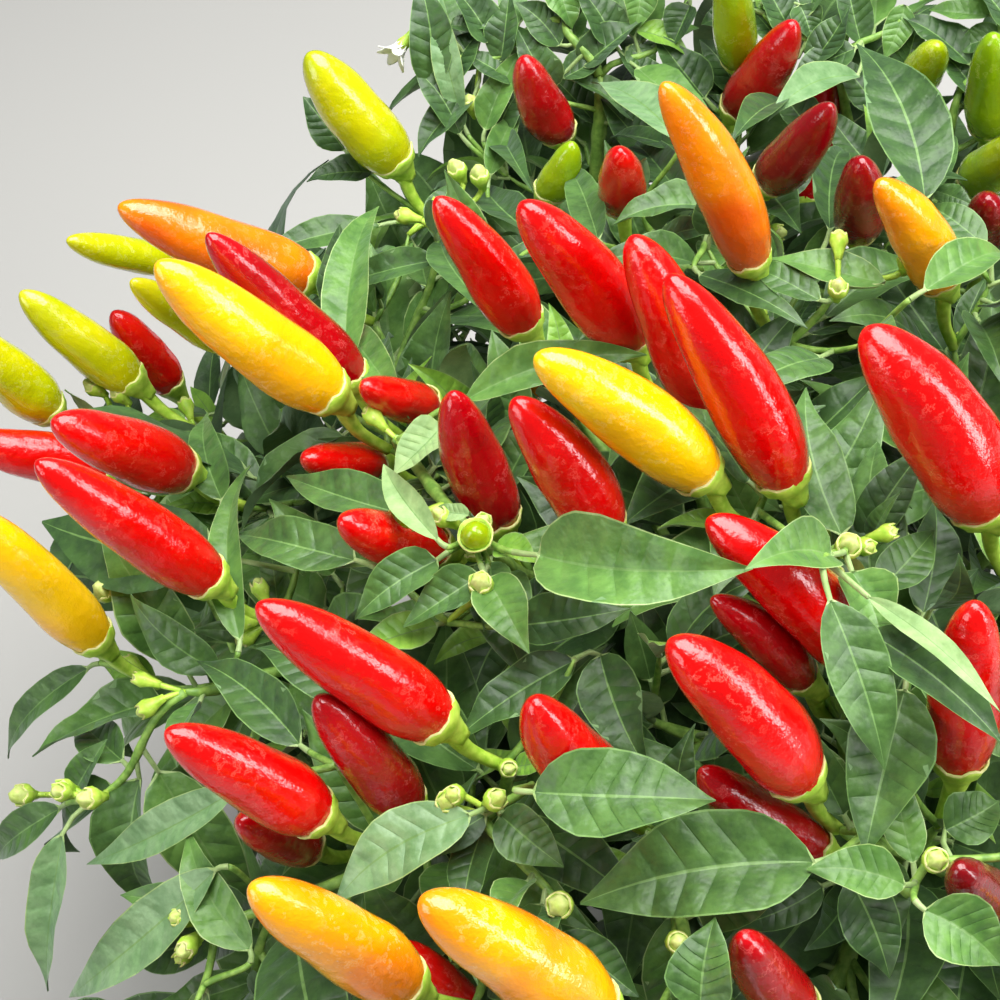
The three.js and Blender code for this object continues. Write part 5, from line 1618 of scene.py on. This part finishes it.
def finish_piece(piece, nodes):
    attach(piece, "root")
    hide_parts(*nodes)
    pieces.append(piece)


def leaf_piece(sheaf, nodes):
    name = f"leaves_{'abcdefgh'[len(pieces)]}"
    finish_piece(sheaf.piece(name, green, sharp=50), nodes)


sheaf, nodes = Sheaf(), []
for mass in masses:
    for leaf in leaves:
        if leaf.mass is not mass:
            continue
        if sheaf.triangles() > MOST_TRIANGLES:
            leaf_piece(sheaf, nodes)
            sheaf, nodes = Sheaf(), []
        if mass.name not in nodes:
            nodes.append(mass.name)
        sheaf.add(leaf_rings(leaf, leaf.grid), leaf_strips(leaf, leaf.grid))
leaf_piece(sheaf, nodes)

# %% [markdown]
# ## Buds, blossom and the first fruit
#
# At the tips of many shoots sit a few flower buds: pale closed petals in a ribbed green cup, no bigger
# than a peppercorn, on short curved stalks. Here and there a white flower is open, and in some cups a
# round green fruit has just set. A bud is a very short fruit in a small calyx, so it is made by the same
# two functions.

# %% Buds, blossom and the first fruit
BUD = Sizes(long=6.2, wide=4.8, rows=7, blunt=2.6, seam=0.16, stalk=9, share=0.45, open_share=0.12)
FULL_TURN = 6.28
BUD_CALYX = Sizes(sides=15, rows=5, stalk=1.0, cone=3.2, curve=1.1, lip=0.3, hug=3.3, tooth=1.2, rib=0.14)
YOUNG_CALYX = Sizes(sides=20, rows=6, stalk=1.6, cone=5, curve=1.1, lip=0.8, hug=2.6, tooth=1.0, rib=0.06)
PETAL = Sizes(long=11, half=2.4, count=6, rows=7, sides=8, thin=0.25, cup=3.6, cup_long=5)
PLACED_BUDS = [
    ((455, 795), 1.05), ((447, 803), 1.04), ((935, 860), 1.07), ((107, 592), 1.04), ((65, 788), 1.04),
    ((848, 547), 1.10), ((832, 577), 1.09), ((677, 942), 1.04), ((560, 905), 1.03), ((92, 798), 1.04),
    ((25, 795), 1.03), ((62, 792), 1.05), ((866, 592), 1.04), ((908, 262), 1.03), ((838, 290), 1.03),
    ((471, 105), 1.03), ((458, 172), 1.04), ((480, 178), 1.03), ((95, 388), 1.05), ((120, 395), 1.05),
    ((481, 585), 1.06),
]
YOUNG_FRUIT = [((476, 536), 1.09, 7.6), ((402, 521), 1.06, 7)]
BLOSSOM = [((404, 34), 1.04)]
STALK_SKIN, EDGE_SKIN, BUD_SKIN, PETAL_SKIN, GREEN_FRUIT_SKIN = range(5)
bud_sheaf = Sheaf()


def add_bud(foot, axis, wide, long, form, filling, roll):
    """What looks out of a calyx, closed petals or a new fruit, and the calyx round it"""
    bud = Sizes(foot=foot, along=axis, lift=square_to(axis, roll(0, FULL_TURN)), wide=wide, long=long, bow=0,
                blunt=BUD.blunt, uneven=[roll(0, FULL_TURN) for _ in range(3)])
    rings = fruit_rings(bud, close_at_ends(BUD.rows), form.sides)
    if filling == BUD_SKIN:
        seam = 1 + BUD.seam * np.cos(np.arange(form.sides) * 10 * math.pi / form.sides)
        rings = rings.mean(axis=1)[:, None] * (1 - seam)[None, :, None] + rings * seam[None, :, None]
    bud_sheaf.add(rings, filling)
    add_calyx(bud_sheaf, bud, form, STALK_SKIN, EDGE_SKIN)


def add_blossom(foot, axis, roll):
    """Six white petals that leave a small cup and bend outwards"""
    turn = roll(0, FULL_TURN)
    for k in range(PETAL.count):
        outside = square_to(axis, turn + k * 2 * math.pi / PETAL.count)
        path = bezier((foot, foot + axis * 4, foot + axis * 7 + outside * 3, foot + axis * PETAL.long * 0.8
                       + outside * PETAL.long * roll(0.45, 0.7)), np.linspace(0, 1, PETAL.rows))
        side = np.cross(axis, outside)
        face = np.cross(unit(np.gradient(path, axis=0)), side)
        angle = angles_round(PETAL.sides)
        half = PETAL.half * np.sin(math.pi * np.linspace(0.16, 0.96, PETAL.rows)) ** 0.7
        rings = path[:, None] + side * (np.cos(angle)[None, :] * half[:, None])[..., None]
        bud_sheaf.add(rings + face[:, None] * (np.sin(angle) * PETAL.thin)[None, :, None], PETAL_SKIN)
    add_bud(foot, axis, PETAL.cup, PETAL.cup_long, BUD_CALYX, BUD_SKIN, roll)


def small_stalk(pixel, reach, thick, lean, roll):
    """A curved stalk from the nearest twig to a place in the picture. Gives its end and its way there."""
    middle = on_crown(pixel, reach)
    spot = int(np.argmin(np.linalg.norm(wood - middle, axis=1)))
    hold(spot)
    axis = unit(outward(middle) + unit(EYE - middle) * lean + vec(roll(-0.3, 0.3), 0, roll(-0.3, 0.3)))
    foot = middle - axis * BUD.long * 0.3
    path = bezier(bent(wood[spot], unit(foot - wood[spot] + UP * 4), foot, axis), np.linspace(0, 1, 9))
    bud_sheaf.add(tube(path, np.linspace(thick * 0.8, thick, 9), 6), STALK_SKIN)
    return foot, axis


for pixel, reach in PLACED_BUDS:
    roll = dice(FIRST_SEED.bud + pixel[0])
    foot, axis = small_stalk(pixel, reach, 1.0, 0.5, roll)
    scale = roll(0.9, 1.2)
    add_bud(foot, axis, BUD.wide * scale, BUD.long * scale, BUD_CALYX, BUD_SKIN, roll)
for pixel, reach, wide in YOUNG_FRUIT:
    roll = dice(FIRST_SEED.young_fruit + pixel[0])
    foot, axis = small_stalk(pixel, reach, 1.5, 1.2, roll)
    add_bud(foot, axis, wide, wide * 0.95, YOUNG_CALYX, GREEN_FRUIT_SKIN, roll)
for pixel, reach in BLOSSOM:
    roll = dice(FIRST_SEED.blossom + pixel[0])
    foot, axis = small_stalk(pixel, reach, 0.9, 0.2, roll)
    add_blossom(foot, unit(axis * 0.4 - ABOVE - RIGHT * 0.3), roll)
flowers = len(BLOSSOM)
for i, twig in enumerate(twigs):
    roll = dice(FIRST_SEED.cluster + i)
    if roll() > BUD.share or twig.held < len(twig.path) - 3:
        continue
    for k in range(int(roll(1, 4))):
        axis = unit(twig.path[-1] - twig.path[-2])
        leave = unit(axis + square_to(axis, roll(0, FULL_TURN)) * roll(0.3, 0.9))
        droop = unit(leave + UP * roll(-0.9, 0.5))
        foot = twig.path[-1] + unit(leave + droop) * BUD.stalk * roll(0.7, 1.2)
        if hides_placed(foot[None]) or room[cells(foot[None])].any():
            continue
        path = bezier(bent(twig.path[-1], leave, foot, droop), np.linspace(0, 1, 6))
        bud_sheaf.add(tube(path, np.linspace(0.7, 0.95, 6), 5), STALK_SKIN)
        if roll() < BUD.open_share and not seen_from_camera(foot):
            add_blossom(foot, droop, roll)
            flowers += 1
        else:
            scale = roll(0.65, 1.0)
            add_bud(foot, droop, BUD.wide * scale, BUD.long * scale, BUD_CALYX, BUD_SKIN, roll)
print(flowers, "open flowers")

# %% [markdown]
# ## Stem and boughs, twigs, fruit
#
# The main stem and the boughs get their relief as geometry: low ridges that run with the limb, with
# small swellings that wander over them. The flat cut at ground level stays flat. Each twig is drawn up to
# the last point that bears something.

# %% Stem and boughs, twigs, fruit
RELIEF = Sizes(ridges=5, ridge=0.06, rough=0.05)
STEM_GRID = Sizes(rows=64, sides=28, closer=1.2, phase=0.4)
BOUGH_GRID = Sizes(rows=30, sides=14)
COLLAR = Sizes(rows=6, swell=1.3)
TWIG_END = (0.85, 0.45)
ROUND_TWIG, RIDGED_TWIG = dict(sides=6), dict(sides=8, ridges=4, depth=0.07)
limb_sheaf, stem_sheaf = Sheaf(), Sheaf()


def rough_limb(path, radii, sides, phase):
    """Rings of a ridged limb with low swellings"""
    rings = tube(path, radii, sides, RELIEF.ridges, RELIEF.ridge)
    row, column = np.arange(len(path))[:, None], np.arange(sides)[None, :]
    bump = np.sin(row * 0.9 + column * 1.3 + phase) * np.sin(row * 0.37 - column * 2.1 + phase * 2)
    out = rings - path[:, None, :]
    return path[:, None, :] + out * (1 + RELIEF.rough * bump)[..., None]


path, radii = stem_at(np.linspace(0, 1, STEM_GRID.rows) ** STEM_GRID.closer)
rings = rough_limb(path, radii, STEM_GRID.sides, STEM_GRID.phase)
rings[0, :, 2] = 0
stem_sheaf.add(rings, 0)
for k, bough in enumerate(boughs):
    path = bezier(bough.controls, np.linspace(0, 1, BOUGH_GRID.rows))
    path = np.concatenate([path, path[-1:] + bough.arrive * GAP])
    radii = np.linspace(bough.root, bough.tip, len(path))
    radii[:COLLAR.rows] *= np.linspace(COLLAR.swell, 1, COLLAR.rows)
    limb_sheaf.add(rough_limb(path, radii, BOUGH_GRID.sides, k), 0)

for sprig in sprigs:
    if sprig.held:
        sprig.joint.load += 1
for twig in twigs:
    loads = [joint.load for joint in twig.mass.joints[twig.first:twig.last + 1]]
    busy = [FINE_STEPS * (k + 1) for k, load in enumerate(loads) if load > 1]
    twig.held = len(twig.path) - 1 if twig.shoot.fruit else max([twig.held, *busy])
kept = 0
for limb in limbs:
    if limb.held:
        end = max(limb.held, 2) + 1
        limb.radii[end - 2:end] *= TWIG_END
        form = ROUND_TWIG if limb.radii[0] <= SPRIG.root else RIDGED_TWIG
        twig_sheaf.add(tube(limb.path[:end], limb.radii[:end], **form), 0)
        kept += 1
print(kept, "of", len(limbs), "twigs bear something and are kept")

mass_nodes = [mass.name for mass in masses]
finish_piece(stem_sheaf.piece("stem", [corky_stem]), ["main_stem"])
finish_piece(limb_sheaf.piece("boughs", [green_bough]), [bough.name for bough in boughs])
finish_piece(twig_sheaf.piece("twigs", [green_twig]), mass_nodes)
finish_piece(fruit_sheaf.piece("fruit", list(FRUIT_TONES.values())), mass_nodes)
finish_piece(stalk_sheaf.piece("stalks_and_calyxes", [fruit_stalk, calyx_edge]), mass_nodes)
bud_finishes = [fruit_stalk, calyx_edge, bud_skin, petal_skin, FRUIT_TONES["lime"]]
finish_piece(bud_sheaf.piece("buds_and_blossom", bud_finishes), mass_nodes)

# %% [markdown]
# ## Floor, light and camera
#
# The plant stands on a plain pale floor. A wide soft light overhead stands for the sky. Upright glossy
# fruit mirror what stands beside them, so a tall narrow light on the right gives each its long bright
# streak. A weaker one on the left opens the shadows there, and the world is kept dim, because whatever it
# sends back from the skin would veil the deep red.

# %% Floor, light and camera
FLOOR_SIZE = 4.0
floor_mesh = bpy.data.meshes.new("floor")
half = FLOOR_SIZE / 2
floor_mesh.from_pydata([(-half, -half, 0), (half, -half, 0), (half, half, 0), (-half, half, 0)], [],
                       [(0, 1, 2, 3)])
floor = bpy.data.objects.new("floor", floor_mesh)
bpy.context.scene.collection.objects.link(floor)
paper = add_skin(new_finish("pale_paper"), {"Base Color": linear("#a5a4a0"), "Roughness": 0.8})
floor_mesh.materials.append(paper)


def soft_light(name, place, aim, wide, tall, power):
    light = bpy.data.lights.new(name, "AREA")
    light.shape = "RECTANGLE"
    light.size, light.size_y, light.energy = wide, tall, power
    lamp = bpy.data.objects.new(name, light)
    bpy.context.scene.collection.objects.link(lamp)
    back = unit(np.array(place) - np.array(aim))
    side = unit(np.cross(UP, back))
    matrix = np.column_stack([side, np.cross(back, side), back])
    lamp.matrix_world = Matrix.Translation(place) @ Matrix(matrix.tolist()).to_4x4()


soft_light("sky_light", (0.3, 0.1, 1.35), aim=(0, 0, 0.2), wide=1.25, tall=1.25, power=46)
soft_light("streak_light", (1.05, -0.56, 0.62), aim=(0, 0, 0.25), wide=0.36, tall=0.95, power=11)
soft_light("fill_light", (-1.3, -0.7, 0.9), aim=(0, 0, 0.2), wide=0.9, tall=0.9, power=12)

DIM_SKY = Sizes(colour=(0.95, 0.98, 1.0, 1), strength=0.15)
world = bpy.data.worlds.new("studio")
world.use_nodes = True
background = world.node_tree.nodes["Background"].inputs
background["Color"].default_value = DIM_SKY.colour
background["Strength"].default_value = DIM_SKY.strength
bpy.context.scene.world = world
bpy.context.scene.view_settings.view_transform = "Standard"

SENSOR = 36
camera_data = bpy.data.cameras.new("camera")
camera_data.sensor_width = SENSOR
camera_data.lens = VIEW.focal / VIEW.frame * SENSOR
camera_data.clip_start, camera_data.clip_end = 0.02, 20
camera = bpy.data.objects.new("camera", camera_data)
bpy.context.scene.collection.objects.link(camera)
turned = Matrix(np.column_stack([RIGHT, ABOVE, -FORWARD]).tolist()).to_4x4()
camera.matrix_world = Matrix.Translation((EYE * MM).tolist()) @ turned
bpy.context.scene.camera = camera
